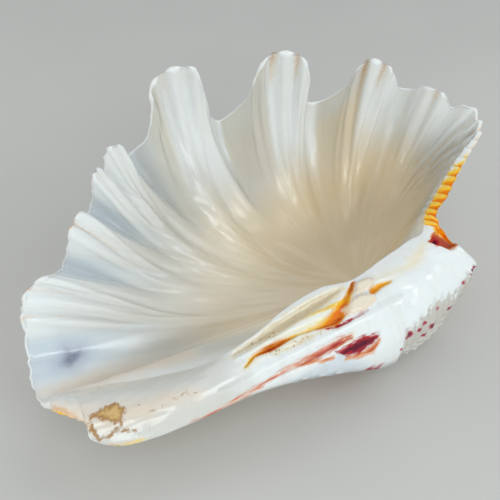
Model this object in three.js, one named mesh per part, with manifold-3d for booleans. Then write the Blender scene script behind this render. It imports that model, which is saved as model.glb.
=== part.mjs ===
// One half of a giant clam shell, lying on its ribbed outside with the bowl open upwards.
// All sizes are in millimetres. The shell is shaped in its own frame first:
//   x runs along the hinge line towards the front end of the animal,
//   y runs away from the hinge, across the bowl,
//   z runs towards the missing half; z = 0 is the plane in which the two halves would close.
// At the end the shell is turned into the pose in which it rests and moved to the row's frame.

import * as THREE from "three";
import Module from "manifold-3d";

// Free margin, outer edge, as [x, y, z], from the rear end of the hinge round to the front end.
// A fold that rises towards the inside has positive z, the gap between two folds has negative z.
const MARGIN = {
  rearCorner: [[-168, -8, -3], [-167, -2, 0], [-171, 3, 1], [-177, 10, 0], [-181, 17, -3]],
  rearGap: [[-181, 30, -10], [-178, 43, -12]],
  lobeA: [[-174, 51, 3], [-171, 58, 9], [-163, 65, 11], [-154, 66, 10]],
  gapAB: [[-150, 73, -5], [-145, 79, -13]],
  lobeB: [[-139, 80, 7], [-134, 85, 13], [-128, 89, 11]],
  gapBC: [[-124, 97, -7], [-119, 103, -11]],
  lobeC: [[-116, 103, 10], [-112, 106, 14]],
  gapCD: [[-107, 111, 3]],
  lobeD: [[-103, 114, 14], [-97, 113, 15]],
  gapDE: [[-92, 120, -5], [-90, 127, -19], [-83, 131, -25], [-75, 128, -11]],
  fingerE: [[-71, 130, 8], [-69, 135, 19], [-61, 137, 25], [-52, 135, 27], [-45, 131, 26]],
  gapEF: [[-42, 126, 12], [-39, 127, -4], [-35, 131, -20], [-28, 130, -28], [-19, 125, -13]],
  fingerF: [[-16, 121, 2], [-14, 121, 16], [-8, 122, 26], [1, 120, 28], [9, 114, 26], [13, 109, 14]],
  gapFG: [[14, 110, 0], [17, 115, -13], [24, 114, -22], [32, 109, -15]],
  fingerG: [[37, 103, 2], [38, 101, 15], [42, 98, 25], [50, 93, 22], [56, 91, 13]],
  gapGH: [[62, 92, 2], [69, 94, -9], [75, 89, -8]],
  lobeH: [[74, 82, 3], [77, 74, 7], [80, 70, 5]],
  gapHI: [[86, 67, -5]],
  toothedFront: [[89, 62, 2], [91, 52, 2], [85, 42, 1], [74, 36, 0], [60, 28, 0], [46, 19, 0], [33, 11, 0]],
};

// Hinge side, from front to rear: the inner lip over the bowl and the outer edge under it.
const HINGE = [
  { lip: [22, 6, 0], edge: [38, -7, -11] },
  { lip: [14, 6, 0], edge: [42, -19, -14] },
  { lip: [6, 5, -1], edge: [33, -25, -25] },
  { lip: [-3, 4, -1], edge: [12, -32, -31] },
  { lip: [-14, 3.5, -1], edge: [-9, -35, -32] },
  { lip: [-24, 3, -1], edge: [-24, -36, -29] },
  { lip: [-41, 4, -1], edge: [-45, -33, -22] },
  { lip: [-64, 2, -1], edge: [-68, -27, -16] },
  { lip: [-85, -1, -1], edge: [-92, -23, -11] },
  { lip: [-110, -4, 0], edge: [-118, -22, -8] },
  { lip: [-133, -3, 1], edge: [-142, -20, -6] },
  { lip: [-150, 0, 1], edge: [-158, -16, -5] },
];

// Raised ridges (height above 0) and grooves (height below 0) on the hinge plate.
// Each runs along x between from and to, at y = at, with the half width given.
const HINGE_RELIEF = [
  { name: "furrow behind the lip", height: -2.0, at: -1.5, half: 3, from: -88, to: -38 },
  { name: "side ridge", height: 2.0, at: -5.3, half: 3, from: -86, to: -28 },
  { name: "deep groove", height: -4.0, at: -8.6, half: 3.4, from: -92, to: -38 },
  { name: "tooth", height: 4.0, at: -11.5, half: 4, from: -38, to: -22 },
  { name: "pit before the tooth", height: -3.0, at: -7.6, half: 3, from: -21, to: -6 },
  { name: "outer ridge", height: 2.0, at: -17, half: 4, from: -104, to: -4 },
  { name: "ligament groove", height: -3.5, at: -21.5, half: 3.4, from: -112, to: -37 },
  { name: "pit behind the beak", height: -3.0, at: -27, half: 4.5, from: -50, to: -24 },
];
const RELIEF_FADE = 6;

// Wall and margin.
const LIP_FAN = 3.2;
const LIP_FRONT = 8.5;
const LIP_CROWN = 1.3;
const PLATE_CROWN = 1.5;
const PLATE_SHOULDER = 3;
const FRONT_TEETH = 18;
const TOOTH_HEIGHT = 1.6;
const TOOTH_EDGE_HEIGHT = 1;

// The bowl: its deepest corner under the hinge, then heights and reaches that steer the curve
// from there to the margin. Rear values belong to the long flat end, belly values to the deep part.
const BOWL_CORNER = [0, 12, -50];
const BOWL_NEAR_REACH = 0.5;
const BOWL_NEAR_REAR = -58;
const BOWL_NEAR_BELLY = -76;
const BOWL_NEAR_FRONT_RISE = 18;
const BOWL_NEAR_HINGE = -52;
const BOWL_NEAR_HINGE_RISE = 22;
const BOWL_FAR_REACH_REAR = 0.74;
const BOWL_FAR_REACH_BELLY = 0.95;
const BOWL_FAR_REACH_HINGE = 1.02;
const BOWL_FAR_REACH_HINGE_LOSS = 0.2;
const BOWL_FAR_REAR = -22;
const BOWL_FAR_BELLY = -54;
const BOWL_FAR_FRONT_RISE = 8;
const BOWL_FAR_HINGE = -34;
const BOWL_FAR_HINGE_RISE = 28;
const BOWL_FOLD_SHARE = 0.62;

// The outside, steered in the same way, from the beak under the hinge to the margin.
const BEAK = [-18, -12, -50];
const OUT_NEAR_REACH = 0.5;
const OUT_NEAR_REAR = -75;
const OUT_NEAR_BELLY = -105;
const OUT_NEAR_FRONT_RISE = 34;
const OUT_NEAR_HINGE = -50;
const OUT_FAR_REACH_REAR = 0.82;
const OUT_FAR_REACH_BELLY = 0.98;
const OUT_FAR_REAR = -34;
const OUT_FAR_BELLY = -70;
const OUT_FAR_FRONT_RISE = 16;
const OUT_FOLD_SHARE = 0.8;
const OUT_RIB_SHARE = 0.2;
const OUT_HINGE_DROP = 12;
const OUT_HINGE_TUCK = 5;
const OUT_HINGE_PULL = 0.12;

// Stretches of the loop over which folds are taken out (bare) or only softened (soft), and the
// stretches at both ends of the free margin over which it turns into the hinge side.
// All four are counted in points of the loop.
const BARE_REACH = 3;
const SOFT_REACH = 0.6;
const REAR_CHANGE = { before: 1, after: 4 };
const FRONT_CHANGE = { before: 3, after: 1 };
const MEAN_STEPS = 6;

// Directions seen from the bowl corner, in degrees from the x axis, counted on past half a turn.
const TURN_START = -90;
const FULL_TURN = 360;
const BELLY_FULL = 112;
const BELLY_NONE = 176;
const DEEP_FULL = 128;
const DEEP_NONE = 178;
const FRONT_NONE = 75;
const FRONT_FULL = 15;

// Along the hinge the bowl grows shallower between these two x values.
const HINGE_DEEP_X = -35;
const HINGE_SHALLOW_X = -115;

// Pose at rest and place in the row's frame.
const YAW_DEG = 29;
const HINGE_SLOPE_DEG = 7.5;
const TILT_DEG = 24;
const SEAT = [61.15, -14.85, 58.7];
const FOOT_BOX = 300;

// Facets: steps between neighbouring margin points, and rows from pole to pole.
const STEPS_MARGIN = 2;
const STEPS_FRONT = 6;
const STEPS_HINGE = 2;
const BOWL_ROWS = [0.12, 0.25, 0.38, 0.5, 0.62, 0.73, 0.83, 0.92, 1];
const PLATE_ROWS = [0.12, 0.25, 0.33, 0.45, 0.57, 0.68, 0.84, 1];
const OUT_ROWS = [0.94, 0.86, 0.77, 0.67, 0.57, 0.46, 0.35, 0.24, 0.12];

const margin = Object.values(MARGIN).flat();
const frontCount = MARGIN.toothedFront.length;
const frontStart = margin.length - frontCount;
const frontEnd = margin.length - 1;
const loopCount = margin.length + HINGE.length;

function smoothStep(from, to, value) {
  const part = Math.min(1, Math.max(0, (value - from) / (to - from)));
  return part * part * (3 - 2 * part);
}

function mix(a, b, share) {
  return a + (b - a) * share;
}

// Position u on the closed loop counts its points; u and u + loopCount are the same place.
function wrap(u) {
  return ((u % loopCount) + loopCount) % loopCount;
}

// Cubic curve through the points of a closed loop.
function through(points, u) {
  const at = Math.floor(u);
  const f = u - at;
  const pick = (step) => points[(at + step + loopCount) % loopCount];
  const [a, b, c, d] = [pick(-1), pick(0), pick(1), pick(2)];
  return [0, 1, 2].map((i) => {
    const bend = 2 * a[i] - 5 * b[i] + 4 * c[i] - d[i];
    const twist = 3 * b[i] - a[i] - 3 * c[i] + d[i];
    return 0.5 * (2 * b[i] + (c[i] - a[i]) * f + bend * f * f + twist * f * f * f);
  });
}

// The inner edge stands one lip width inside the outer edge, square to the run of the margin.
function insetPoint(index) {
  const before = margin[Math.max(0, index - 1)];
  const after = margin[Math.min(margin.length - 1, index + 1)];
  const run = Math.hypot(after[0] - before[0], after[1] - before[1]);
  const lip = mix(LIP_FAN, LIP_FRONT, smoothStep(frontStart, frontEnd, index));
  const [x, y, z] = margin[index];
  return [x + (lip * (after[1] - before[1])) / run, y - (lip * (after[0] - before[0])) / run, z];
}

const outerLoop = [...margin, ...HINGE.map((row) => row.edge)];
const innerLoop = [...margin.map((_, index) => insetPoint(index)), ...HINGE.map((row) => row.lip)];

// Mean of a loop over a stretch of it, which takes the folds out.
function smoothed(points, u, reach) {
  const sum = [0, 0, 0];
  for (let k = 0; k <= MEAN_STEPS; k += 1) {
    const place = through(points, wrap(u - reach + (2 * reach * k) / MEAN_STEPS));
    place.forEach((value, i) => {
      sum[i] += value / (MEAN_STEPS + 1);
    });
  }
  return sum;
}

// 1 on the free margin, 0 on the hinge side, with a soft change at both ends.
function fanShare(u) {
  const fromRear = u > loopCount - REAR_CHANGE.before ? u - loopCount : u;
  const rear = smoothStep(-REAR_CHANGE.before, REAR_CHANGE.after, fromRear);
  const front = 1 - smoothStep(frontEnd - FRONT_CHANGE.before, frontEnd + FRONT_CHANGE.after, u);
  return fromRear < loopCount / 2 ? rear : front;
}

// Small teeth on the front margin: 0 between two teeth, 1 on top of one.
function frontTooth(u) {
  if (u < frontStart || u > frontEnd) {
    return 0;
  }
  const turn = ((u - frontStart) / (frontEnd - frontStart)) * FRONT_TEETH;
  return 0.5 - 0.5 * Math.cos(2 * Math.PI * turn);
}

function hingeRelief(x, y) {
  let height = 0;
  for (const line of HINGE_RELIEF) {
    const across = Math.min(1, Math.abs(y - line.at) / line.half);
    const start = smoothStep(line.from - RELIEF_FADE, line.from, x);
    const stop = 1 - smoothStep(line.to, line.to + RELIEF_FADE, x);
    height += line.height * start * stop * (0.5 + 0.5 * Math.cos(Math.PI * across));
  }
  return height;
}

function bezier(points, t) {
  const s = 1 - t;
  const weights = [s * s * s, 3 * s * s * t, 3 * s * t * t, t * t * t];
  return [0, 1, 2].map((i) => weights.reduce((sum, weight, k) => sum + weight * points[k][i], 0));
}

// A steering point on the line from the bowl corner towards a place on the loop.
function towards(place, reach, z) {
  const [x, y] = BOWL_CORNER;
  return [x + (place[0] - x) * reach, y + (place[1] - y) * reach, z];
}

// Everything the three bands need at one place on the loop.
function column(u) {
  const lip = through(innerLoop, u);
  const edge = through(outerLoop, u);
  const tooth = frontTooth(u);
  lip[2] += TOOTH_HEIGHT * tooth;
  edge[2] += TOOTH_EDGE_HEIGHT * tooth;
  const bare = smoothed(innerLoop, u, BARE_REACH);
  const soft = smoothed(innerLoop, u, SOFT_REACH);
  const angle = Math.atan2(bare[1] - BOWL_CORNER[1], bare[0] - BOWL_CORNER[0]);
  const fromStart = THREE.MathUtils.radToDeg(angle) - TURN_START;
  const turn = THREE.MathUtils.euclideanModulo(fromStart, FULL_TURN) + TURN_START;
  const belly = 1 - smoothStep(BELLY_FULL, BELLY_NONE, turn);
  const deep = 1 - smoothStep(DEEP_FULL, DEEP_NONE, turn);
  const front = 1 - smoothStep(FRONT_FULL, FRONT_NONE, turn);
  const shallow = 1 - smoothStep(HINGE_SHALLOW_X, HINGE_DEEP_X, lip[0]);
  const fan = fanShare(u);
  const fold = soft[2];

  const nearFan = mix(BOWL_NEAR_REAR, BOWL_NEAR_BELLY, deep) + BOWL_NEAR_FRONT_RISE * front;
  const nearHinge = BOWL_NEAR_HINGE + BOWL_NEAR_HINGE_RISE * shallow;
  const farFan = mix(BOWL_FAR_REAR, BOWL_FAR_BELLY, belly) + BOWL_FAR_FRONT_RISE * front;
  const farHinge = BOWL_FAR_HINGE + BOWL_FAR_HINGE_RISE * shallow;
  const reachFan = mix(BOWL_FAR_REACH_REAR, BOWL_FAR_REACH_BELLY, belly);
  const reachHinge = BOWL_FAR_REACH_HINGE - BOWL_FAR_REACH_HINGE_LOSS * shallow;
  const bowlNear = towards(bare, BOWL_NEAR_REACH, mix(nearHinge, nearFan, fan));
  const farZ = mix(farHinge, farFan + BOWL_FOLD_SHARE * fold, fan);
  const bowlFar = towards(soft, mix(reachHinge, reachFan, fan), farZ);

  const softEdge = smoothed(outerLoop, u, SOFT_REACH);
  const bareEdge = smoothed(outerLoop, u, BARE_REACH);
  const outNearFlat = mix(OUT_NEAR_REAR, OUT_NEAR_BELLY, deep) + OUT_NEAR_FRONT_RISE * front;
  const outFarFlat = mix(OUT_FAR_REAR, OUT_FAR_BELLY, belly) + OUT_FAR_FRONT_RISE * front;
  const outNearZ = outNearFlat + OUT_RIB_SHARE * fold;
  const outFarZ = outFarFlat + OUT_FOLD_SHARE * fold;
  const outFarReach = mix(OUT_FAR_REACH_REAR, OUT_FAR_REACH_BELLY, belly);
  const farOnFan = towards(softEdge, outFarReach, outFarZ);
  const farOnHinge = [
    edge[0] - OUT_HINGE_PULL * (softEdge[0] - BOWL_CORNER[0]),
    edge[1] + OUT_HINGE_TUCK,
    edge[2] - OUT_HINGE_DROP,
  ];
  const outFar = farOnFan.map((value, i) => mix(farOnHinge[i], value, fan));
  const outNear = towards(bareEdge, OUT_NEAR_REACH, mix(OUT_NEAR_HINGE, outNearZ, fan));

  return {
    bowl: (t) => bezier([BOWL_CORNER, bowlNear, bowlFar, lip], t),
    plate: (s) => {
      const [x, y, level] = [0, 1, 2].map((i) => mix(lip[i], edge[i], s));
      const onFan = level + LIP_CROWN * Math.sin(Math.PI * s);
      const drop = 1 - Math.sqrt(1 - Math.pow(s, PLATE_SHOULDER));
      const crown = PLATE_CROWN * Math.sin(Math.PI * s);
      const onHinge = mix(lip[2], edge[2], drop) + crown + hingeRelief(x, y);
      return [x, y, s === 1 ? edge[2] : mix(onHinge, onFan, fan)];
    },
    outside: (t) => bezier([BEAK, outNear, outFar, edge], t),
  };
}

// Places of the columns round the loop.
function columnPlaces() {
  const places = [];
  for (let k = 0; k < loopCount; k += 1) {
    const onHinge = k >= frontEnd;
    const steps = onHinge ? STEPS_HINGE : k >= frontStart ? STEPS_FRONT : STEPS_MARGIN;
    for (let step = 0; step < steps; step += 1) {
      places.push(k + step / steps);
    }
  }
  return places;
}

// Pole, bowl rows, plate rows, outside rows, pole: one closed skin.
function shellSkin() {
  const columns = columnPlaces().map(column);
  const rows = [
    ...BOWL_ROWS.map((t) => columns.map((c) => c.bowl(t))),
    ...PLATE_ROWS.map((s) => columns.map((c) => c.plate(s))),
    ...OUT_ROWS.map((t) => columns.map((c) => c.outside(t))),
  ];
  const points = [BOWL_CORNER, ...rows.flat(), BEAK];
  const count = columns.length;
  const last = points.length - 1;
  const triangles = [];
  for (let i = 0; i < count; i += 1) {
    const next = (i + 1) % count;
    triangles.push([0, 1 + next, 1 + i]);
    for (let r = 0; r + 1 < rows.length; r += 1) {
      const a = 1 + r * count + i;
      const b = 1 + r * count + next;
      triangles.push([a, b, a + count]);
      triangles.push([b, b + count, a + count]);
    }
    const base = 1 + (rows.length - 1) * count;
    triangles.push([last, base + i, base + next]);
  }
  return { points, triangles };
}

function restingPose() {
  const turn = new THREE.Matrix4().makeRotationZ(THREE.MathUtils.degToRad(YAW_DEG));
  turn.multiply(new THREE.Matrix4().makeRotationY(-THREE.MathUtils.degToRad(HINGE_SLOPE_DEG)));
  turn.multiply(new THREE.Matrix4().makeRotationX(THREE.MathUtils.degToRad(TILT_DEG)));
  return turn.setPosition(...SEAT);
}

function asGeometry(points, triangles) {
  const geometry = new THREE.BufferGeometry();
  geometry.setAttribute("position", new THREE.Float32BufferAttribute(points.flat(), 3));
  geometry.setIndex(triangles.flat());
  return geometry;
}

const wasm = await Module();
wasm.setup();

function toSolid(geometry) {
  return new wasm.Manifold(
    new wasm.Mesh({
      numProp: 3,
      vertProperties: Float32Array.from(geometry.attributes.position.array),
      triVerts: Uint32Array.from(geometry.index.array),
    }),
  );
}

function fromSolid(solid) {
  const mesh = solid.getMesh();
  const geometry = new THREE.BufferGeometry();
  geometry.setAttribute("position", new THREE.BufferAttribute(Float32Array.from(mesh.vertProperties), 3));
  geometry.setIndex(new THREE.BufferAttribute(Uint32Array.from(mesh.triVerts), 1));
  return geometry;
}

// A box under the table plane, to take the worn foot off flat.
function underTable() {
  const half = FOOT_BOX / 2;
  const points = [];
  for (const z of [-FOOT_BOX, 0]) {
    points.push([-half, -half, z], [half, -half, z], [half, half, z], [-half, half, z]);
  }
  const quads = [[0, 3, 2, 1], [4, 5, 6, 7], [0, 1, 5, 4], [1, 2, 6, 5], [2, 3, 7, 6], [3, 0, 4, 7]];
  const triangles = quads.flatMap(([a, b, c, d]) => [[a, b, c], [a, c, d]]);
  return asGeometry(points, triangles);
}

const skin = shellSkin();
const whole = asGeometry(skin.points, skin.triangles);
whole.applyMatrix4(restingPose());
const seated = toSolid(whole).subtract(toSolid(underTable()));

const shell = new THREE.Mesh(
  fromSolid(seated),
  new THREE.MeshStandardMaterial({ color: 0xebe6de, roughness: 0.35, metalness: 0 }),
);
shell.name = "shell";

const part = new THREE.Group();
part.name = "giant_clam_shell";
part.add(shell);

export default part;
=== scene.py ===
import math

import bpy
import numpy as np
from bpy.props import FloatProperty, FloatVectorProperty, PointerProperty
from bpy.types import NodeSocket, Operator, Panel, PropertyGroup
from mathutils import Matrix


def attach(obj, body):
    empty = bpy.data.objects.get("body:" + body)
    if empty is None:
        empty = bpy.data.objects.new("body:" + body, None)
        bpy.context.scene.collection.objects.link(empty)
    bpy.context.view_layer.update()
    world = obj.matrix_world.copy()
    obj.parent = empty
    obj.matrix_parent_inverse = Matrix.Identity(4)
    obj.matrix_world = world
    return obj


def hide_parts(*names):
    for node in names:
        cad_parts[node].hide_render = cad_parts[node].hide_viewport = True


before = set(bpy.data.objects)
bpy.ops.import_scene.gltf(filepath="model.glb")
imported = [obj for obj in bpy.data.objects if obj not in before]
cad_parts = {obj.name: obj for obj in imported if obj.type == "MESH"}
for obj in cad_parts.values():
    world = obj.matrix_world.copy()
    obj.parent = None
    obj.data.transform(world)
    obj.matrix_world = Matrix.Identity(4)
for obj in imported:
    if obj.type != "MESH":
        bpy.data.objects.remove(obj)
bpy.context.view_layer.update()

# One half of a giant clam shell, as a Blender add-on that is run as a script.
# The shell is shaped in its own frame, in millimetres:
#   x runs along the hinge line towards the front end,
#   y runs away from the hinge, across the bowl,
#   z runs towards the missing half; z = 0 is the plane in which the two halves would close.
# It is then turned into its resting pose and put into the row's frame, in metres.

bl_info = {
    "name": "Giant clam shell",
    "version": (1, 0, 0),
    "blender": (4, 5, 0),
    "location": "View3D > Sidebar > Clam Shell",
    "description": "Builds one half of a giant clam shell with its finish, and a plain stage for it",
    "category": "Add Mesh",
}

MM = 0.001
TINY = 1e-6
GOLDEN_ANGLE = 2.39996

# Free margin, outer edge, as [x, y, z], from the rear end of the hinge round to the front end.
# A fold that rises towards the inside has positive z, the gap between two folds has negative z.
MARGIN = {
    "rear corner": [[-168, -8, -3], [-167, -2, 0], [-171, 3, 1], [-177, 10, 0], [-181, 17, -3]],
    "rear gap": [[-181, 30, -10], [-178, 43, -12]],
    "lobe A": [[-174, 51, 3], [-171, 58, 9], [-163, 65, 11], [-154, 66, 10]],
    "gap AB": [[-150, 73, -5], [-145, 79, -13]],
    "lobe B": [[-139, 80, 7], [-134, 85, 13], [-128, 89, 11]],
    "gap BC": [[-124, 97, -7], [-119, 103, -11]],
    "lobe C": [[-116, 103, 10], [-112, 106, 14]],
    "gap CD": [[-107, 111, 3]],
    "lobe D": [[-103, 114, 14], [-97, 113, 15]],
    "gap DE": [[-92, 120, -5], [-90, 127, -19], [-83, 131, -25], [-75, 128, -11]],
    "finger E": [[-71, 130, 8], [-69, 135, 19], [-61, 137, 25], [-52, 135, 27], [-45, 131, 26]],
    "gap EF": [[-42, 126, 12], [-39, 127, -4], [-35, 131, -20], [-28, 130, -28], [-19, 125, -13]],
    "finger F": [[-16, 121, 2], [-14, 121, 16], [-8, 122, 26], [1, 120, 28], [9, 114, 26], [13, 109, 14]],
    "gap FG": [[14, 110, 0], [17, 115, -13], [24, 114, -22], [32, 109, -15]],
    "finger G": [[37, 103, 2], [38, 101, 15], [42, 98, 25], [50, 93, 22], [56, 91, 13]],
    "gap GH": [[62, 92, 2], [69, 94, -9], [75, 89, -8]],
    "lobe H": [[74, 82, 3], [77, 74, 7], [80, 70, 5]],
    "gap HI": [[86, 67, -5]],
    "toothed front": [[89, 62, 2], [91, 52, 2], [85, 42, 1], [74, 36, 0],
                      [60, 28, 0], [46, 19, 0], [33, 11, 0]],
}

# Hinge side, from front to rear: the inner lip over the bowl and the outer edge under it.
HINGE_LIP = [[22, 8, 0], [14, 7.2, 0], [6, 6.2, 0], [-3, 5, 0], [-14, 3.6, -0.5], [-26, 2.4, -0.5],
             [-42, 5.8, 0], [-62, 4.4, 0], [-85, -0.5, 0], [-108, -1, -3], [-131, 6, -8], [-151, 13, -9]]
# Inner border of the strip's rear end, for the places of the rear corner.
REAR_LIP = [[-161, 16, -8.5], [-166, 17, -7.5], [-171, 18, -6], [-175, 18.5, -5], [-180, 18.5, -4]]
HINGE_EDGE = [[38, -7, -11], [43, -19, -14], [34, -27, -29], [13, -35, -36], [-8, -38, -37],
              [-24, -38, -32], [-45, -33, -22], [-68, -27, -16], [-92, -23, -11], [-118, -22, -8],
              [-142, -20, -6], [-158, -16, -5]]

# Shapes on the hinge plate, in plan. A line is a list of (x, y, half width), a patch a list of (x, y).
FURROW = [(-95, -3.6, 0.2), (-81, -3.0, 1.0), (-70, -1.6, 1.8), (-55, -0.6, 2.2),
          (-42, 0.4, 1.4), (-34, 1.0, 0.3)]
SIDE_RIDGE = [(-95, -6.6, 0.2), (-88, -6.8, 0.8), (-71, -6.6, 1.2), (-60, -6.2, 2.2),
              (-50, -7.0, 2.4), (-44, -7.0, 1.0)]
RIDGE_END = [(-56, -4.4, 0.3), (-47, -5.0, 1.2), (-38, -5.3, 1.4), (-31, -5.5, 0.9)]
GROOVE = [(-93, -11.6, 0.2), (-87, -9.0, 0.7), (-79, -9.3, 1.3), (-71, -9.2, 0.9), (-63, -9.6, 0.2),
          (-56, -10.7, 0.3), (-50, -11.3, 1.1), (-44, -11.0, 3.0), (-39, -9.2, 3.2), (-33, -5.2, 1.7),
          (-28, -1.6, 1.1), (-25, 1.0, 0.7)]
TOOTH = [(-38, -8), (-37.5, -13.2), (-28, -14.2), (-21, -13), (-20, -9.5), (-27, -6.8)]
LIP_TOOTH = [(-24.5, -0.4), (-27, -1.8), (-26.6, -3.2), (-29.4, -4), (-28.6, -6.2),
             (-19.5, -6.2), (-15.5, -3), (-18, -0.6)]
FRONT_PIT = [(-19, -7.2, 1.7), (-14.5, -6.6, 1.4), (-8, -7.0, 0.5)]
STEP = [(-50, -13.5, 0.3), (-45, -14.8, 0.9), (-40, -15.0, 0.8), (-34, -15.1, 0.5), (-27, -14.5, 0.3)]
PALE_BAND = [(-80, -12.2, 0.6), (-70, -12.9, 1.5), (-60, -13.1, 1.5), (-52, -13.8, 0.6)]
OUTER_RIDGE = [(-108, -17.4, 0.5), (-80, -17.0, 1.4), (-50, -17.2, 1.6),
               (-30, -18.0, 2.5), (-10, -18.5, 2.5)]
LIGAMENT = [(-130, -22.0, 0.1), (-98, -21.6, 0.3), (-75, -20.8, 0.7), (-60, -21.3, 1.3),
            (-47, -21.2, 1.6), (-40, -21.6, 1.0)]
LIGAMENT_CHIP = [(-45.5, -23), (-39.3, -23.6), (-38.6, -20.2)]
BEAK_PIT = [(-50, -24.2), (-42, -23.5), (-34, -23.8), (-25.5, -25.6),
            (-28.5, -28.4), (-38.8, -28.8), (-45, -27.6)]
PIT_FRINGE = [(-46, -28.4, 0.6), (-39.4, -29.8, 1.1), (-31.3, -30.6, 1.4), (-26.5, -28.6, 0.9)]
LOWER_STREAK = [(-68, -21.9, 0.3), (-60.5, -23.7, 0.8), (-52, -26.0, 0.7)]

# Forms of the hinge plate as (height, softness of the edge, shape): ridges are above 0, grooves below.
HINGE_RELIEF = {
    "furrow behind the lip": (-2.2, 1.6, FURROW),
    "side ridge": (2.0, 1.4, SIDE_RIDGE),
    "end of the side ridge": (1.0, 1.2, RIDGE_END),
    "deep groove": (-3.2, 1.0, GROOVE),
    "tooth": (3.0, 0.9, TOOTH),
    "tooth by the lip": (2.0, 0.7, LIP_TOOTH),
    "pit before the tooth": (-3.0, 1.0, FRONT_PIT),
    "step beside the groove": (-1.4, 0.6, STEP),
    "outer ridge": (2.0, 2.6, OUTER_RIDGE),
    "ligament groove": (-2.6, 1.2, LIGAMENT),
    "pit behind the beak": (-3.4, 0.9, BEAK_PIT),
    "hollow under the pit": (-1.2, 1.2, PIT_FRINGE),
}

# Hollow between the toothed front and the beak, a widening line.
LUNULE = [(21, 1.5, 0.3), (30, 0, 8.0)]
LUNULE_DEPTH = 4.5

# Fine ridges on the folds as (place on the loop, half width in places, height); grooves are below 0.
FINE_RIDGES = [
    (7.3, 0.45, 0.9), (7.85, 0.3, -0.7), (8.35, 0.45, 0.8), (9.0, 0.3, -0.9), (9.6, 0.5, 1.0),
    (13.3, 0.4, 0.8), (14.0, 0.35, -0.9), (14.8, 0.45, 0.9),
    (18.2, 0.35, 0.7), (18.7, 0.3, -0.5), (19.2, 0.35, 0.6),
    (21.2, 0.35, 0.6), (21.6, 0.3, -0.5), (22.1, 0.35, 0.7),
    (27.5, 0.35, 0.8), (28.3, 0.45, 0.9), (28.95, 0.4, -1.0),
    (29.6, 0.5, 0.9), (30.3, 0.4, -0.7), (31.0, 0.5, 0.6),
    (37.6, 0.35, 0.7), (38.5, 0.45, 0.9), (39.4, 0.4, -1.2),
    (40.1, 0.45, 1.0), (40.75, 0.35, -1.0), (41.3, 0.4, 0.9),
    (47.3, 0.35, 0.6), (48.1, 0.45, 0.8), (48.75, 0.35, -1.1),
    (49.3, 0.4, 1.0), (49.9, 0.35, -0.9), (50.4, 0.4, 0.9),
    (55.3, 0.4, 0.6), (56.0, 0.35, -0.6), (56.6, 0.4, 0.6),
    (24.7, 0.6, 0.4), (34.2, 0.6, 0.4), (45.0, 0.6, 0.4),
]

# Wall and margin in mm. A name in ROWS holds limits in rows of a band, from 0 at its start to 1 at its end,
# one in PLACES limits along the loop, one in TURN limits along the toothed front. Two limits are those of a
# change, four those of a rise and the fall after it. Five numbers are a rise, a loss after it and the share
# that is lost. Other pairs are values at the two ends of a change.
LIP_WIDTH = (1.1, 6.0)
LIP_CROWN = 0.4
REAR_CROWN = 4.0
REAR_CROWN_PLACES = (4.0, 2.0)
PLATE_CROWN = 1.5
STRIP_CROWN = 7.0
STRIP_X = (-92.0, -125.0)
PLATE_SHOULDER = 3
HINGE_RELIEF_ROWS = (0.0, 0.04, 0.9, 1.0)
FRONT_TEETH = 14
TOOTH_CROWDING = 1.45
TOOTH_EDGE_SHARE = 0.6
SCALLOPS = (3.2, 0.9)
FRONT_LEAN = 3.5
LEAN_SHARE = (0.1, 1.0)
LEAN_TURN = (0.25, 0.7)
FRONT_OVERRUN = 0.6
CHIPS = (0.8, 0.25)
CHIP_PLACES = (24, 27)
# How far the folds sweep towards the hinge on their way to the bottom of the bowl, as (place, places),
# and how far that may sink them into the wall.
FOLD_SWEEP = [(0, 0), (4, 4), (8, 11), (14, 15), (20, 19), (27, 20),
              (32, 14), (38, 5), (46, 2), (58, 1), (64, 0), (78, 0)]
SWEEP_DEPTH = (3.5, 0.3)
SWEEP_DEPTH_ROWS = (0.4, 0.8)

# Small forms over the smooth bands in mm. Waves are (height, size, turn of the pattern), cords and ribs
# are (height, pitch).
RIDGE_ROWS = (0.42, 0.88, 0.93, 1.0, 0.35)
# The ribs inside the front lean towards the tall folds, by loop places from the margin to the bottom.
FRONT_RIB = 2.8
FRONT_RIB_LEAN = 5.0
FRONT_RIB_ROWS = (0.3, 0.9, 0.9, 1.0, 0.7)
BOWL_WAVES = (0.12, 14.0, 0.7)
BOWL_WAVE_ROWS = (0.2, 0.7)
PLATE_RIDGE_SHARE = 0.3
PLATE_SWELLS = (0.3, 16.0, 4.2)
PLATE_SWELL_X = (-26.0, -8.0)
PLATE_WAVES = (0.12, 6.0, 1.9)
PLATE_WAVE_STRETCH = (0.35, 1.0, 1.0)
PLATE_WAVE_ROWS = (1.0, 0.85)
STRIP_RIBS = (0.45, 9.0)
STRIP_RIB_X = (-44.0, -52.0)
STRIP_RIB_Y = (-24.5, -27.0)
GROWTH_STEPS = 12
GROWTH_WAVES = (0.25, 30.0, 2.2)
GROWTH_ROWS = (0.25, 0.5, 0.96, 1.0)
LOOP_CORDS = (0.5, 0.5)
LOOP_CORD_ROWS = (0.3, 0.6)
PITS = (0.25, 9.0, 3.1)
PIT_ROWS = (0.1, 0.4, 0.93, 1.0)
MARGIN_LOSS = 0.6
MARGIN_LOSS_ROWS = (0.8, 0.95)
# Share of the fine ridges inside that shows on the outside, as ribs under the grooves.
RIB_MATCH = 0.85
RIB_ROWS = (0.5, 0.88, 0.88, 1.0, 0.5)
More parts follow.
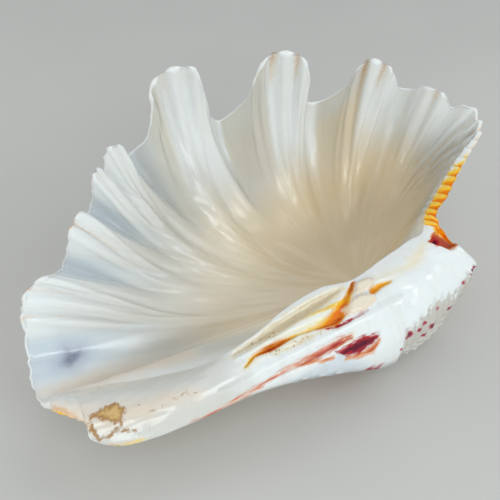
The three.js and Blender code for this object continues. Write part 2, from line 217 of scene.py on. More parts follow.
# Border between the worn white beak and its ribbed front, as (x, y); the front swells out below it.
WORN_EDGE = [(-30, -60), (-13, -36), (-11.5, -32), (-10, -30.3), (-3, -29.7), (3, -28.5), (6, -25.8),
             (12, -25.2), (25, -25.2), (30, -23.8), (33, -21.4), (38, -20.4), (42, -18)]
WORN_BORDER = (-0.4, 0.6)
WORN_SCALLOPS = (0.6, 5.0)
WORN_WAVES = (1.1, 5.0, 0.9)
WORN_STEP = 2.0
WORN_CORDS = (0.5, 5.0)
BEAK_FRONT_ROWS = (0.5, 0.9)
BEAK_FRONT_X = (-20.0, -12.0)
BEAK_SWELL = 3.8
BEAK_SWELL_X = (-18.0, 6.0, 18.0, 40.0)
BEAK_SWELL_ROWS = (0.3, 0.65, 0.92, 1.0)

# The bowl: its deepest corner under the hinge, then heights and reaches of the points that steer the curve
# from there to the margin. Pairs are (long flat rear, deep belly), on the hinge (front, shallow rear).
BOWL_CORNER = np.array([0.0, 12.0, -50.0])
BOWL_NEAR_REACH = 0.5
BOWL_NEAR_Z = (-58, -76)
BOWL_NEAR_FRONT_RISE = 18
BOWL_NEAR_HINGE_Z = (-52, -30)
BOWL_FAR_REACH = (0.74, 0.95)
BOWL_FAR_HINGE_REACH = (1.02, 0.82)
BOWL_FAR_Z = (-22, -54)
BOWL_FAR_FRONT_RISE = 8
BOWL_FAR_HINGE_Z = (-34, -14)
BOWL_FOLD_SHARE = 0.62
EVEN_REACH = 4.8
ROUND_REACH = 1.6
ROUND_RISE = (0.02, 0.55)
FOLD_RISE = (0.48, 0.95)

# The outside, steered in the same way, from the beak under the hinge to the margin.
BEAK = np.array([-18.0, -12.0, -50.0])
OUT_NEAR_REACH = 0.5
OUT_NEAR_Z = (-75, -105)
OUT_NEAR_FRONT_RISE = 34
OUT_NEAR_HINGE_Z = -50
OUT_FAR_REACH = (0.82, 0.98)
OUT_FAR_Z = (-34, -70)
OUT_FAR_FRONT_RISE = 16
OUT_FOLD_SHARE = 0.8
OUT_RIB_SHARE = 0.2
OUT_HINGE_DROP = 12
OUT_HINGE_TUCK = 5
OUT_HINGE_PULL = 0.12

# Stretches of the loop, counted in its points, and directions seen from the bowl corner, in degrees.
BARE_REACH = 3
SOFT_REACH = 0.6
MEAN_STEPS = 6
REAR_CHANGE = (-1, 4)
FRONT_CHANGE = (-3, 1)
BELLY = (112, 176)
DEEP = (128, 178)
FRONT = (15, 75)
TURN_START = -90
HINGE_X = (-115, -35)

# Pose at rest and place in the row's frame.
YAW_DEG = 29
HINGE_SLOPE_DEG = 7.5
TILT_DEG = 24
SEAT = np.array([61.15, -14.85, 58.7])

# Grid: columns on the folded margin, on the toothed front and on the hinge, rows of the three bands.
COLUMNS_FAN = 410
COLUMNS_FRONT = 110
COLUMNS_HINGE = 270
ROWS_BOWL = 38
ROWS_PLATE = 50
ROWS_OUTSIDE = 37
ROW_CROWDING = 1.25
BOWL_PART = slice(None, ROWS_BOWL)
PLATE_PART = slice(ROWS_BOWL, ROWS_BOWL + ROWS_PLATE)
OUT_PART = slice(ROWS_BOWL + ROWS_PLATE, None)
BOWL_TO_PLATE = slice(None, ROWS_BOWL + ROWS_PLATE)
PLATE_TO_OUT = slice(ROWS_BOWL, None)

LOOP_MARGIN = np.array(sum(MARGIN.values(), []), float)
FRONT_START = len(LOOP_MARGIN) - len(MARGIN["toothed front"])
FRONT_END = len(LOOP_MARGIN) - 1
LOOP_COUNT = len(LOOP_MARGIN) + len(HINGE_LIP)

# Stains as shapes on the plate and in the bowl.
FAR_OFF = 30.0
PLATE_STAINS = {
    "straw": [
        [(-20, -2.0, 0.6), (3, -5.0, 2.6), (12, -2.6, 3.4), (18, 2.0, 1.6)],
        [(-94, -12.0, 1.0), (-70, -9.0, 2.0), (-52, -8.0, 2.0)],
        LIGAMENT_CHIP,
    ],
    "tip": [
        LUNULE,
        LIGAMENT,
        [(-176, 11, 1.6), (-171, 5, 1.4), (-166, -4, 1.0)],
        [(-162, -14, 1.2), (-148, -18, 0.6)],
    ],
    "yellow": [
        RIDGE_END,
        [(-160, -15.6, 0.6), (-146, -18.6, 0.3)],
        [(-93, -12.0, 0.8), (-89, -9.6, 0.8)],
        [(-66, -9.2, 0.3), (-54, -10.2, 0.6), (-48, -9.4, 1.2)],
    ],
    "ridge white": [
        [(-88, -6.8, 0.4), (-71, -6.6, 0.8), (-60, -6.4, 1.5), (-50, -7.2, 1.5), (-46, -7.3, 0.6)],
    ],
    "tan": [
        [(-97, -4.2, 1.0), (-81, -3.6, 2.8), (-70, -2.6, 3.8), (-55, -1.4, 4.4), (-42, -0.4, 3.8),
         (-32, 0.4, 2.0)],
        PALE_BAND,
    ],
    "dirt": [
        [(-92, -3.8, -1.5), (-76, -4.2, -0.7), (-64, -4.4, -1.7)],
        [(-72, -1.6, -2.0), (-49, -0.4, -1.2)],
        [(-83, -11.4, -1.9), (-78, -11.6, -0.9), (-70, -12.9, -1.2), (-52, -13.8, -1.4)],
        [(-143, -9.0, -2.3), (-126, -10.6, -1.7), (-112, -13.2, -2.3)],
        [(-150, -4.0, -2.3), (-136, -4.0, -2.1)],
        [(-170, 14, -2.5), (-150, 13, -2.1)],
    ],
    "ligament": [LIGAMENT],
    "ochre": [
        [(-164.3, 0.8), (-157.5, 1.8), (-151.2, 1.2), (-149.6, -3.6), (-153.2, -8.4), (-156.5, -6.5),
         (-160, -3.2)],
        [(-164.4, 0.4, 0.7), (-165.8, -4.0, 0.9), (-165, -9.6, 0.8), (-159, -10.0, 0.6), (-154, -8.6, 0.6)],
        [(-157, -9.4, 0.6), (-149.5, -13.6, 0.5)],
        [(-140.4, -9.6, 0.1), (-138.6, -10.4, 0.0)],
        [(-131, -10.4, -0.3), (-125.8, -10.0, 0.0), (-120.7, -9.7, -0.2)],
    ],
    "blush": [[(-176, 10, 3.0), (-160, -2, 6.0), (-140, -8, 5.0), (-118, -12, 2.0)]],
    "amber": [
        GROOVE,
        FRONT_PIT,
        [(28, 6, 1.0), (32, 5, 2.0), (35, -2, 1.8), (37, -7, 1.2)],
        [(-178, 11, 0.5), (-172, 4, 0.7)],
    ],
    "rust": [
        [(-85, -8.9, 0.5), (-79, -9.3, 1.6), (-72, -9.2, 1.0), (-67, -9.4, 0.2)],
        [(-54, -11.6, 0.3), (-46, -12.4, 1.3), (-41, -11.8, 1.6), (-38.6, -9.5, 0.8)],
        [(-29.5, -2.8, 0.4), (-26.6, -0.6, 1.0), (-25, 1.0, 0.7)],
        PIT_FRINGE,
        LOWER_STREAK,
        [(21, 1.5, 0.6), (27, 0.6, 4.6), (33, -4, 2.8)],
    ],
    "maroon": [STEP, BEAK_PIT, [(21, 1.5, 0.2), (26, 0.8, 2.4)]],
    "ivory tooth": [TOOTH, LIP_TOOTH],
}
BOWL_STAINS = {
    "violet": [[(-170, 33), (-161, 42), (-150, 36.5), (-161, 28.5)]],
    "rust": [[(-166, 63.5, 0.7), (-163, 65.5, 0.5)], [(-136, 83.5, 0.8), (-133, 86, 0.4)]],
    "blush": [[(-182, 21, 3.0), (-160, 19, 6.0), (-136, 16, 7.0), (-112, 11, 5.0)]],
    "line": [
        [(-168, 64, 0.4), (-158, 62, 0.3), (-146, 57.4, 0.0)],
        [(-174, 53, 0.4), (-163, 51.6, 0.3), (-152, 49, 0.0)],
        [(-136, 86, 0.5), (-126, 80, 0.3), (-116, 72, 0.0)],
    ],
}
# Spots as (x, y, z, radius).
SPOTS = [
    (-32, -35.4, -25.6, 3.8), (-27, -36.4, -27.4, 4.0), (-14.5, -36, -21, 1.3), (-8, -31.7, -18.5, 2.7),
    (-0.8, -32.2, -19.4, 1.7), (2.5, -30.3, -18.1, 1.7), (4, -34.6, -29.5, 2.9), (9.6, -32.7, -24.9, 2.9),
    (11.8, -27.5, -15, 1.3), (17.9, -30.1, -26.8, 1.0), (22.8, -28.8, -26.1, 2.5), (33, -21.6, -16, 1.6),
    (40, -19, -12.8, 2.9), (-36.4, -8.6, 2.5, 0.9),
]

# Looks of the stains: colour at the border, colour in the middle, softness and raggedness of the border
# in mm, depth at which the middle colour is reached in mm, strength, stretch along the hinge, grain per mm.
STAIN_LOOKS = {
    "blush": ((0.80, 0.70, 0.59), (0.76, 0.62, 0.49), 5.0, 4.0, 6.0, 0.8, 0.6, 0.12),
    "straw": ((0.86, 0.76, 0.50), (0.85, 0.70, 0.38), 2.6, 2.5, 3.0, 0.5, 0.5, 0.42),
    "violet": ((0.44, 0.48, 0.58), (0.13, 0.13, 0.23), 6.0, 2.2, 5.0, 0.85, 1.0, 0.2),
    "tan": ((0.82, 0.74, 0.56), (0.70, 0.55, 0.33), 1.4, 2.6, 3.4, 0.88, 0.5, 0.45),
    "line": ((0.74, 0.57, 0.40), (0.60, 0.41, 0.24), 1.0, 0.9, 1.4, 0.75, 0.45, 0.5),
    "tip": ((0.86, 0.66, 0.46), (0.78, 0.42, 0.16), 0.8, 1.8, 1.4, 0.55, 0.6, 0.35),
    "yellow": ((0.94, 0.75, 0.28), (0.94, 0.56, 0.03), 0.9, 2.0, 1.4, 0.93, 0.4, 0.5),
    "amber": ((0.97, 0.56, 0.03), (0.88, 0.21, 0.002), 0.6, 1.4, 2.0, 0.97, 0.25, 0.7),
    "rust": ((0.78, 0.24, 0.02), (0.46, 0.04, 0.01), 0.8, 1.8, 1.8, 0.92, 0.2, 0.7),
    "ligament": ((0.80, 0.30, 0.16), (0.42, 0.01, 0.02), 0.4, 4.2, 1.6, 0.95, 0.045, 1.6),
    "ochre": ((0.34, 0.14, 0.01), (0.66, 0.44, 0.16), 0.8, 3.0, 3.2, 0.9, 0.8, 0.6),
    "maroon": ((0.52, 0.02, 0.03), (0.10, 0.002, 0.02), 0.5, 1.9, 2.2, 0.98, 0.3, 0.8),
    "ridge white": ((0.88, 0.82, 0.60), (0.90, 0.89, 0.84), 0.9, 1.0, 1.0, 0.85, 0.3, 0.5),
    "ivory tooth": ((0.84, 0.66, 0.50), (0.88, 0.77, 0.60), 0.5, 2.0, 1.8, 0.92, 0.7, 0.8),
    "dirt": ((0.44, 0.27, 0.11), (0.20, 0.09, 0.03), 0.9, 9.0, 2.0, 0.8, 0.8, 0.75),
    "spot": ((0.50, 0.03, 0.07), (0.15, 0.004, 0.04), 0.5, 0.9, 1.6, 0.95, 1.0, 0.5),
}

# Stains of the plate reach over its edge as far as this row of the outside.
STAINED_ROW = 0.55
# Brown lines in the grooves of the folds: strength and fading towards the bottom of the bowl.
GROOVE_TINT = 1.5
GROOVE_TINT_LOSS = 0.9
GROOVE_FADE = 2.4
GROOVE_FADE_ROWS = (0.985, 0.74)
# Height of the margin from which the tip of a fold is tinted.
TALL_FOLD = 4.0

# Tones of the white. Up the bowl, ivory fades round the row of WHITE_ENDS, and cream from that of CREAM_ENDS
# on; the first row of a pair is that of the rear. The darker ivory deep in the bowl and near the rear
# margin, and the warmth that reaches higher towards the front, are partly the bowl's own tones and partly
# painted shade and warm bounce light.
WHITE_PLACES = (22.0, 30.0, 50.0, 54.0)
WHITE_ENDS = (0.95, 0.72)
IVORY_FADE = (-0.35, 0.05)
CREAM_PLACES = (32.0, 50.0)
CREAM_ENDS = (0.2, 0.42)
CREAM_FADE = (0.0, 0.5)
# Painted shade: the flanks of the folds that climb along the loop face away from the light, and get ivory
# and warmth, darker than the white beside them.
FLANK_CLIMB = (2.0, 9.0)
FLANK_PLACES = (22.0, 27.0, 52.0, 56.0)
FLANK_SHADE_IVORY = 0.9
FLANK_SHADE_IVORY_ROWS = (0.3, 0.6)
FLANK_SHADE_WARM_PLACES = (40.0, 47.0)
FLANK_SHADE_WARMTH = (0.25, 0.6)
FLANK_SHADE_WARM_ROWS = (1.0, 0.8)
# Painted light and shade: the crests of the front ribs get less warmth and the valleys more, so the crests
# look whiter.
RIB_LIGHT_AND_SHADE = 0.7
# Painted shade: the gaps between the rear folds, where the margin runs low, get a darker bluish white.
GAP_SHADE_HEIGHT = (2.0, -9.0)
GAP_SHADE_PLACES = (4.3, 5.4, 23.0, 27.0)
GAP_SHADE_REAR = 0.8
GAP_SHADE_REAR_PLACES = (9.0, 6.0)
GAP_SHADE_ROWS = (0.45, 0.9)
LIP_IVORY = 0.35
LIP_IVORY_ROWS = (0.35, 0.0)
REAR_IVORY = 0.75
REAR_IVORY_X = (-85.0, -110.0)
# Painted shadow: the lower strip by the beak, which faces down, gets the darker bluish white.
STRIP_SHADOW = 1.4
STRIP_SHADOW_X = (-30.0, -45.0)
STRIP_SHADOW_Y = (-24.0, -27.0)
CHALK_ROWS = (1.0, 0.97)
# Painted light: towards the rear the bowl takes the lighter cream instead of the beige, partly its own tone
# and partly the light near the hinge lip.
DEEP_X = (-70.0, -10.0)

# Colours that the settings leave alone.
# The first colour, a darker bluish white, is painted shade, in the gaps of the rear folds and on the lower
# strip by the beak.
COOL_SHADE_WHITE = (0.64, 0.71, 0.77)
STREAK = (0.60, 0.52, 0.42)
GROWTH_BAND = (0.64, 0.57, 0.46)
BLOTCH = (0.50, 0.17, 0.14)
# The grey of the ribbed front under the beak is partly its own tint and partly painted shade of the
# overhanging edge.
RIBBED_FRONT_SHADE_GREY = (0.60, 0.57, 0.52)
# Coordinates for the grain of the finish: a whole band, and the plate as a share of it.
GRAIN_SCALE = 100
GRAIN_PLATE = 0.2
# Stains that take the gloss away.
DULL_STAINS = ("maroon", "spot", "rust", "amber", "yellow", "ligament", "tip", "ochre")

# The stage: soft lights as (place, side, power, colour), all facing one point, and the light all round.
LIGHTS = {
    "key": ((0.6, -0.65, 0.5), 0.35, 1.9, (0.90, 0.98, 1.0)),
    "front": ((0.0, -1.0, 0.3), 0.4, 2.5, (0.93, 1.0, 1.0)),
    "top": ((0.0, -0.55, 0.9), 0.4, 0.5, (0.94, 1.0, 1.0)),
    "left": ((-0.9, 0.1, 0.45), 0.5, 1.3, (0.95, 1.0, 1.0)),
    "back": ((0.1, 0.45, 0.9), 0.5, 0.7, (0.97, 1.0, 1.0)),
    "right": ((0.9, 0.1, 0.45), 0.4, 1.1, (0.93, 0.98, 1.0)),
}
LIGHT_TARGET = (0.0, 0.0, 0.05)
SKY = (0.92, 0.97, 1.0)
SKY_STRENGTH = 0.53
FLOOR_HALF = 3.0
SENSOR_WIDTH = 36.0
NEAREST_SEEN = 0.01


def colour_setting(name, description, default):
    """A colour that the panel shows."""
    return FloatVectorProperty(
        name=name, description=description, default=default, subtype="COLOR", size=3, min=0.0, max=1.0)


class ShellSettings(PropertyGroup):
    """Sizes and colours of the shell's finish."""

    ridge: FloatProperty(
        name="Fine ridges", description="Height of the fine ridges, as a share of the drawn height",
        default=2.5, min=0.0, max=3.0)
    tooth: FloatProperty(
        name="Front teeth", description="Height of the small teeth on the front margin",
        default=1.6 * MM, unit="LENGTH")
    growth: FloatProperty(
        name="Growth steps", description="Height of the growth steps on the outside",
        default=0.7 * MM, unit="LENGTH")
    porcelain: colour_setting("Porcelain", "White of the inside near the margin", (0.86, 0.88, 0.88))
    # Ivory, cream and beige also stand for painted shade and warm bounce light in the bowl, besides its own
    # tones.
    ivory: colour_setting("Ivory", "Duller white of the inside away from the margin", (0.65, 0.63, 0.575))
    cream: colour_setting("Cream", "Warm white of the rear slope of the bowl", (0.91, 0.79, 0.61))
    beige: colour_setting("Beige", "Warm tone at the bottom of the bowl", (0.79, 0.64, 0.43))
    chalk: colour_setting("Chalk", "Matt white of the outside", (0.79, 0.76, 0.70))


class StageSettings(PropertyGroup):
    """Camera, light and floor."""

    camera_place: FloatVectorProperty(
        name="Camera place", description="Where the camera stands", size=3,
        default=(-0.0118, -0.2974, 0.3037), subtype="TRANSLATION", unit="LENGTH")
    camera_pitch: FloatProperty(
        name="Camera pitch", description="How far the camera looks down",
        default=math.radians(40.0), subtype="ANGLE")
    lens: FloatProperty(
        name="Lens", description="Focal length in millimetres on a 36 mm wide sensor", default=54.0)
    floor: colour_setting("Floor", "Colour of the floor", (0.66, 0.64, 0.61))


def smooth_step(limits, value):
    """0 before the first limit, 1 after the second, and the cubic 3s^2 - 2s^3 between them."""
    share = np.clip((value - limits[0]) / (limits[1] - limits[0]), 0.0, 1.0)
    return share * share * (3.0 - 2.0 * share)


def hump(limits, value):
    """A rise from 0 to 1 between the first two of four limits, times a fall to 0 between the last two."""
    return smooth_step(limits[:2], value) * smooth_step(limits[:1:-1], value)


def eased(limits, value):
    """A rise between the first two of five numbers, less the share in the fifth after the next two."""
    return smooth_step(limits[:2], value) * (1 - limits[4] * smooth_step(limits[2:4], value))


def cords(place, form):
    """Rounded cords side by side: the height times the cosine of whole turns, one for each pitch."""
    return form[0] * np.cos(2 * np.pi * place / form[1])


def mix(a, b, share):
    """The value a share of the way from a to b."""
    return a + (b - a) * share


def through(points, place):
    """Cubic curve through the points of a closed loop, at places counted in points."""
    at = np.floor(place).astype(int)
    f = (place - at)[:, None]
    a, b, c, d = (points[(at + step) % len(points)] for step in (-1, 0, 1, 2))
    bend = 2 * a - 5 * b + 4 * c - d
    twist = 3 * b - a - 3 * c + d
    return 0.5 * (2 * b + (c - a) * f + bend * f**2 + twist * f**3)


def smoothed(points, place, reach):
    """Mean of a loop over a stretch of it, which takes the folds out."""
    steps = np.linspace(-reach, reach, MEAN_STEPS + 1)
    return sum(through(points, place + step) for step in steps) / len(steps)


def bezier(start, near, far, end, t):
    """Cubic Bezier curves, one for each column, at the rows t."""
    t = t[:, None, None]
    s = 1.0 - t
    return s**3 * start + 3 * s**2 * t * near + 3 * s * t**2 * far + t**3 * end


def ripple(points, waves, count=7):
    """Irregular waves of about the given height and size: sine waves in directions a golden angle apart."""
    height, size, turn = waves
    total = np.zeros(points.shape[:-1])
    for k in range(count):
        angle = turn + GOLDEN_ANGLE * k
        lean = math.sin(1.3 * k + turn)
        way = np.array([math.cos(angle), math.sin(angle), lean])
        total = total + np.sin(points @ way * (2 * math.pi * (0.6 + 0.17 * k) / size) + 5.1 * k + turn)
    return height * (total / math.sqrt(count))


def along_loop(u, values, places):
    """Values given at the columns u, read at other places of the closed loop."""
    return np.interp(places, u, values, period=LOOP_COUNT)


def column_places():
    """Places of the grid's columns round the loop: even steps on each of its three stretches."""
    fan = np.linspace(0, FRONT_START, COLUMNS_FAN, endpoint=False)
    front = np.linspace(FRONT_START, FRONT_END, COLUMNS_FRONT, endpoint=False)
    hinge = np.linspace(FRONT_END, LOOP_COUNT, COLUMNS_HINGE, endpoint=False)
    return np.concatenate([fan, front, hinge])


def fan_share(u):
    """1 on the free margin, 0 on the hinge side, with a soft change at both ends."""
    from_rear = np.where(u > LOOP_COUNT + REAR_CHANGE[0], u - LOOP_COUNT, u)
    rear = smooth_step(REAR_CHANGE, from_rear)
    front = 1.0 - smooth_step((FRONT_END + FRONT_CHANGE[0], FRONT_END + FRONT_CHANGE[1]), u)
    return np.where(from_rear < LOOP_COUNT / 2, rear, front)


def fold_place(u):
    """Place on the margin of the fold that runs through each point of the bowl.

    The fold is shifted along the loop by its sweep times the squared distance from the margin.
    """
    sweep = np.interp(u, [place for place, _ in FOLD_SWEEP], [shift for _, shift in FOLD_SWEEP])
    return u + sweep * (1 - bowl_rows()[:, None])**2


def front_turn(u):
    """Share of the way along the toothed front, from its far end to the beak."""
    return np.clip((u - FRONT_START) / (FRONT_END + FRONT_OVERRUN - FRONT_START), 0.0, 1.0)


def front_tooth(u):
    """Teeth of the front margin: 0 between two teeth, 1 on top of one; wide ones first, then closer ones."""
    return 0.5 - 0.5 * np.cos(2 * np.pi * FRONT_TEETH * front_turn(u) ** TOOTH_CROWDING)


def front_ribs(u):
    """Ribs inside the toothed front: they start at the teeth, lean towards the folds and fade downwards."""
    t = bowl_rows()[:, None]
    place = u + FRONT_RIB_LEAN * (1 - t)
    toothed = (FRONT_START, FRONT_START + 0.5, FRONT_END - 0.3, FRONT_END + 0.05)
    ribs = (front_tooth(place) - 0.5) * hump(toothed, place)
    return ribs * smooth_step((FRONT_END + 1, FRONT_END), u) * eased(FRONT_RIB_ROWS, t)


def front_stretch(u):
    """1 on the toothed front, with a soft change at both ends."""
    return hump((FRONT_START - 0.5, FRONT_START + 1, FRONT_END - 0.6, FRONT_END + FRONT_OVERRUN), u)


def margin_chips(u):
    """Small breaks of the margin, as a shift along the wall: two irregular sums of sines along the loop."""
    coarse = np.sin(5.3 * u) + np.sin(8.9 * u + 1.0) + np.sin(14.3 * u + 2.0)
    fine = np.sin(23.0 * u + 0.4) + np.sin(31.7 * u + 1.9)
    size = mix(*CHIPS, smooth_step(CHIP_PLACES, u))
    return size * fan_share(u) * (0.3 * coarse + 0.18 * fine)


def fine_ridges(u):
    """Height of the fine ridges: raised cosines at their places on the loop."""
    height = np.zeros_like(u)
    for place, half, top in FINE_RIDGES:
        height += top * (0.5 + 0.5 * np.cos(np.pi * np.clip((u - place) / half, -1, 1)))
    return height


def along_line(x, y, x0, y0, x1, y1):
    """Share along a straight piece of line and distance from it, for every point."""
    run = (x1 - x0) ** 2 + (y1 - y0) ** 2
    share = np.clip(((x - x0) * (x1 - x0) + (y - y0) * (y1 - y0)) / run, 0.0, 1.0)
    return share, np.hypot(x - x0 - share * (x1 - x0), y - y0 - share * (y1 - y0))


def hinge_relief(x, y):
    """Height of the forms on the hinge plate: each rises or falls over the softness of its edge."""
    height = np.zeros_like(x)
    for top, soft, shape in HINGE_RELIEF.values():
        height += top * smooth_step((-soft, soft), shape_field(x, y, shape))
    return height


def lunule_depth(x, y):
    """Depth of the hollow between the toothed front and the beak, inside its wedge."""
    return LUNULE_DEPTH * smooth_step((0.0, 3.0), shape_field(x, y, LUNULE))


def shape_field(x, y, shape):
    """How far a point lies inside a shape, in mm, below 0 outside it.

    For a line it is the half width less the distance. For a patch it is the distance from the nearest
    side, with the sign from counting how often a ray from the point crosses the sides.
    """
    if len(shape[0]) == 3:
        field = np.full(x.shape, -FAR_OFF)
        for (x0, y0, w0), (x1, y1, w1) in zip(shape, shape[1:]):
            share, away = along_line(x, y, x0, y0, x1, y1)
            field = np.maximum(field, mix(w0, w1, share) - away)
        return field
    nearest = np.full(x.shape, FAR_OFF)
    inside = np.zeros(x.shape, bool)
    for (x0, y0), (x1, y1) in zip(shape, shape[1:] + shape[:1]):
        nearest = np.minimum(nearest, along_line(x, y, x0, y0, x1, y1)[1])
        if y0 != y1:
            inside ^= ((y0 > y) != (y1 > y)) & (x < x0 + (y - y0) * (x1 - x0) / (y1 - y0))
    return np.where(inside, nearest, -nearest)


def stain_field(x, y, shapes):
    """How far a point lies inside the nearest of the shapes, in mm."""
    field = np.full(x.shape, -FAR_OFF)
    for shape in shapes:
        field = np.maximum(field, shape_field(x, y, shape))
    return field


def margin_loops():
    """Outer and inner edge of the whole loop: the inner one stands a lip width inside, square to the run."""
    index = np.arange(len(LOOP_MARGIN))
    before = LOOP_MARGIN[np.maximum(index - 1, 0)]
    after = LOOP_MARGIN[np.minimum(index + 1, len(LOOP_MARGIN) - 1)]
    run = (after - before)[:, :2]
    run /= np.linalg.norm(run, axis=1)[:, None]
    lip = mix(*LIP_WIDTH, smooth_step((FRONT_START, FRONT_END), index))
    inner = LOOP_MARGIN.copy()
    inner[:, 0] += lip * run[:, 1]
    inner[:, 1] -= lip * run[:, 0]
    inner[:len(REAR_LIP)] = REAR_LIP
    outer = np.vstack([LOOP_MARGIN, np.array(HINGE_EDGE, float)])
    return outer, np.vstack([inner, np.array(HINGE_LIP, float)])


def towards(place, reach, z):
    """Steering points on the lines from the bowl corner towards places on the loop, at height z."""
    reach = np.broadcast_to(reach, len(place))
    plan = BOWL_CORNER[:2] + (place[:, :2] - BOWL_CORNER[:2]) * reach[:, None]
    return np.column_stack([plan, np.broadcast_to(z, len(place))])


def margin_columns(u, tooth_height):
    """Inner lip and outer edge for the columns u, with the front teeth, their scallops and the chips."""
    outer, inner = margin_loops()
    lip, edge = through(inner, u), through(outer, u)
    tooth = front_tooth(u)
    lip[:, 2] += tooth_height * tooth
    edge[:, 2] += tooth_height * TOOTH_EDGE_SHARE * tooth
    lean = mix(*LEAN_SHARE, smooth_step(LEAN_TURN, front_turn(u)))
    lip[:, 2] -= FRONT_LEAN * front_stretch(u) * lean
    outwards = edge[:, :2] - BOWL_CORNER[:2]
    outwards /= np.linalg.norm(outwards, axis=1)[:, None]
    scallop = mix(*SCALLOPS, front_turn(u)) * (tooth - 0.5) * front_stretch(u)
    shift = (margin_chips(u) + scallop)[:, None] * outwards
    lip[:, :2] += shift
    edge[:, :2] += shift
    return lip, edge


def regions(u, lip):
    """Shares of the belly, the deep part, the front and the shallow rear of the hinge in each column."""
    bare = smoothed(margin_loops()[1], u, BARE_REACH)
    angle = np.degrees(np.arctan2(bare[:, 1] - BOWL_CORNER[1], bare[:, 0] - BOWL_CORNER[0]))
    turn = np.mod(angle - TURN_START, 360) + TURN_START
    belly, deep, front = (1 - smooth_step(limits, turn) for limits in (BELLY, DEEP, FRONT))
    return belly, deep, front, 1 - smooth_step(HINGE_X, lip[:, 0])


def bowl_band(u, lip):
    """Rows of points of the bowl: Bezier curves from its corner to the lip.

    Their steering points go up and down with the folds. The curves are made with even, with rounded and
    with full folds. From the bottom upwards the even ones change into the rounded ones, and these into
    the full ones. The folds are then swept sideways.
    """
    inner = margin_loops()[1]
    reaches = (BARE_REACH, SOFT_REACH, EVEN_REACH, ROUND_REACH)
    bare, soft, even, round_fold = (smoothed(inner, u, reach) for reach in reaches)
    belly, deep, front, shallow = regions(u, lip)
    fan = fan_share(u)
    near_fan = mix(*BOWL_NEAR_Z, deep) + BOWL_NEAR_FRONT_RISE * front
    near_z = mix(mix(*BOWL_NEAR_HINGE_Z, shallow), near_fan, fan)
    far_fan = mix(*BOWL_FAR_Z, belly) + BOWL_FAR_FRONT_RISE * front
    far_hinge = mix(*BOWL_FAR_HINGE_Z, shallow)
    far_reach = mix(mix(*BOWL_FAR_HINGE_REACH, shallow), mix(*BOWL_FAR_REACH, belly), fan)

    def curves(near_place, far_place, end):
        far_z = mix(far_hinge, far_fan + BOWL_FOLD_SHARE * far_place[:, 2], fan)
        near = towards(near_place, BOWL_NEAR_REACH, near_z)
        return bezier(BOWL_CORNER, near, towards(far_place, far_reach, far_z), end, bowl_rows())

    plain = curves(even, even, even)
    t = bowl_rows()[:, None, None]
    free = fan[:, None]
    bowl = mix(plain, curves(bare, round_fold, round_fold), mix(1.0, smooth_step(ROUND_RISE, t), free))
    bowl = mix(bowl, curves(bare, soft, lip), mix(1.0, smooth_step(FOLD_RISE, t), free))
    return bowl + fold_sweep(u, bowl, plain) * free


def fold_sweep(u, bowl, plain):
    """Shift that sweeps the folds of the bowl sideways.

    What stands out from the plain bowl is read again at the place of its fold. Where the shift would sink
    into the wall, it is scaled so that the depth d becomes limit times tanh(d / limit).
    """
    swept = [
        np.stack([along_loop(u, axis, places) for axis in forms.T], axis=-1)
        for places, forms in zip(fold_place(u), bowl - plain)
    ]
    change = plain + np.stack(swept) - bowl
    sunk = np.maximum(-np.sum(change * open_normals(bowl), axis=-1, keepdims=True), TINY)
    limit = mix(*SWEEP_DEPTH, smooth_step(SWEEP_DEPTH_ROWS, bowl_rows()[:, None, None]))
    return change * limit * np.tanh(sunk / limit) / sunk


def plate_band(u, lip, edge):
    """Rows of points from lip to edge, straight in plan.

    They have a low crown on the free margin, and a rounded shoulder, a crown and relief on the hinge.
    """
    s = plate_rows()[:, None]
    plate = mix(lip[None], edge[None], s[..., None])
    x, y = plate[..., 0], plate[..., 1]
    from_rear = np.where(u > LOOP_COUNT / 2, u - LOOP_COUNT, u)
    rear_crown = REAR_CROWN * smooth_step(REAR_CROWN_PLACES, np.abs(from_rear))
    on_fan = plate[..., 2] + (LIP_CROWN + rear_crown) * np.sin(np.pi * s)
    drop = 1 - np.sqrt(1 - s**PLATE_SHOULDER)
    relief = (hinge_relief(x, y) - lunule_depth(x, y)) * hump(HINGE_RELIEF_ROWS, s)
    crown = PLATE_CROWN + STRIP_CROWN * smooth_step(STRIP_X, lip[:, 0])
    on_hinge = mix(lip[:, 2], edge[:, 2], drop) + crown * np.sin(np.pi * s) + relief
    plate[..., 2] = mix(on_hinge, on_fan, fan_share(u))
    return plate


def outside_band(u, lip, edge):
    """Rows of points of the outside: Bezier curves from the beak to the edge, steered as in the bowl."""
    outer, inner = margin_loops()
    fold = smoothed(inner, u, SOFT_REACH)[:, 2]
    bare_edge, soft_edge = smoothed(outer, u, BARE_REACH), smoothed(outer, u, SOFT_REACH)
    belly, deep, front, _ = regions(u, lip)
    fan = fan_share(u)
    near_z = mix(*OUT_NEAR_Z, deep) + OUT_NEAR_FRONT_RISE * front + OUT_RIB_SHARE * fold
    far_z = mix(*OUT_FAR_Z, belly) + OUT_FAR_FRONT_RISE * front + OUT_FOLD_SHARE * fold
    far_on_fan = towards(soft_edge, mix(*OUT_FAR_REACH, belly), far_z)
    far_on_hinge = np.column_stack([
        edge[:, 0] - OUT_HINGE_PULL * (soft_edge[:, 0] - BOWL_CORNER[0]),
        edge[:, 1] + OUT_HINGE_TUCK,
        edge[:, 2] - OUT_HINGE_DROP,
    ])
    far = mix(far_on_hinge, far_on_fan, fan[:, None])
    near = towards(bare_edge, OUT_NEAR_REACH, mix(OUT_NEAR_HINGE_Z, near_z, fan))
    return bezier(BEAK, near, far, edge, outside_rows())


def shell_bands(u, tooth_height):
    """Rows of points of the bowl, then of the plate, then of the outside, for the columns u."""
    lip, edge = margin_columns(u, tooth_height)
    return np.concatenate([bowl_band(u, lip), plate_band(u, lip, edge), outside_band(u, lip, edge)])


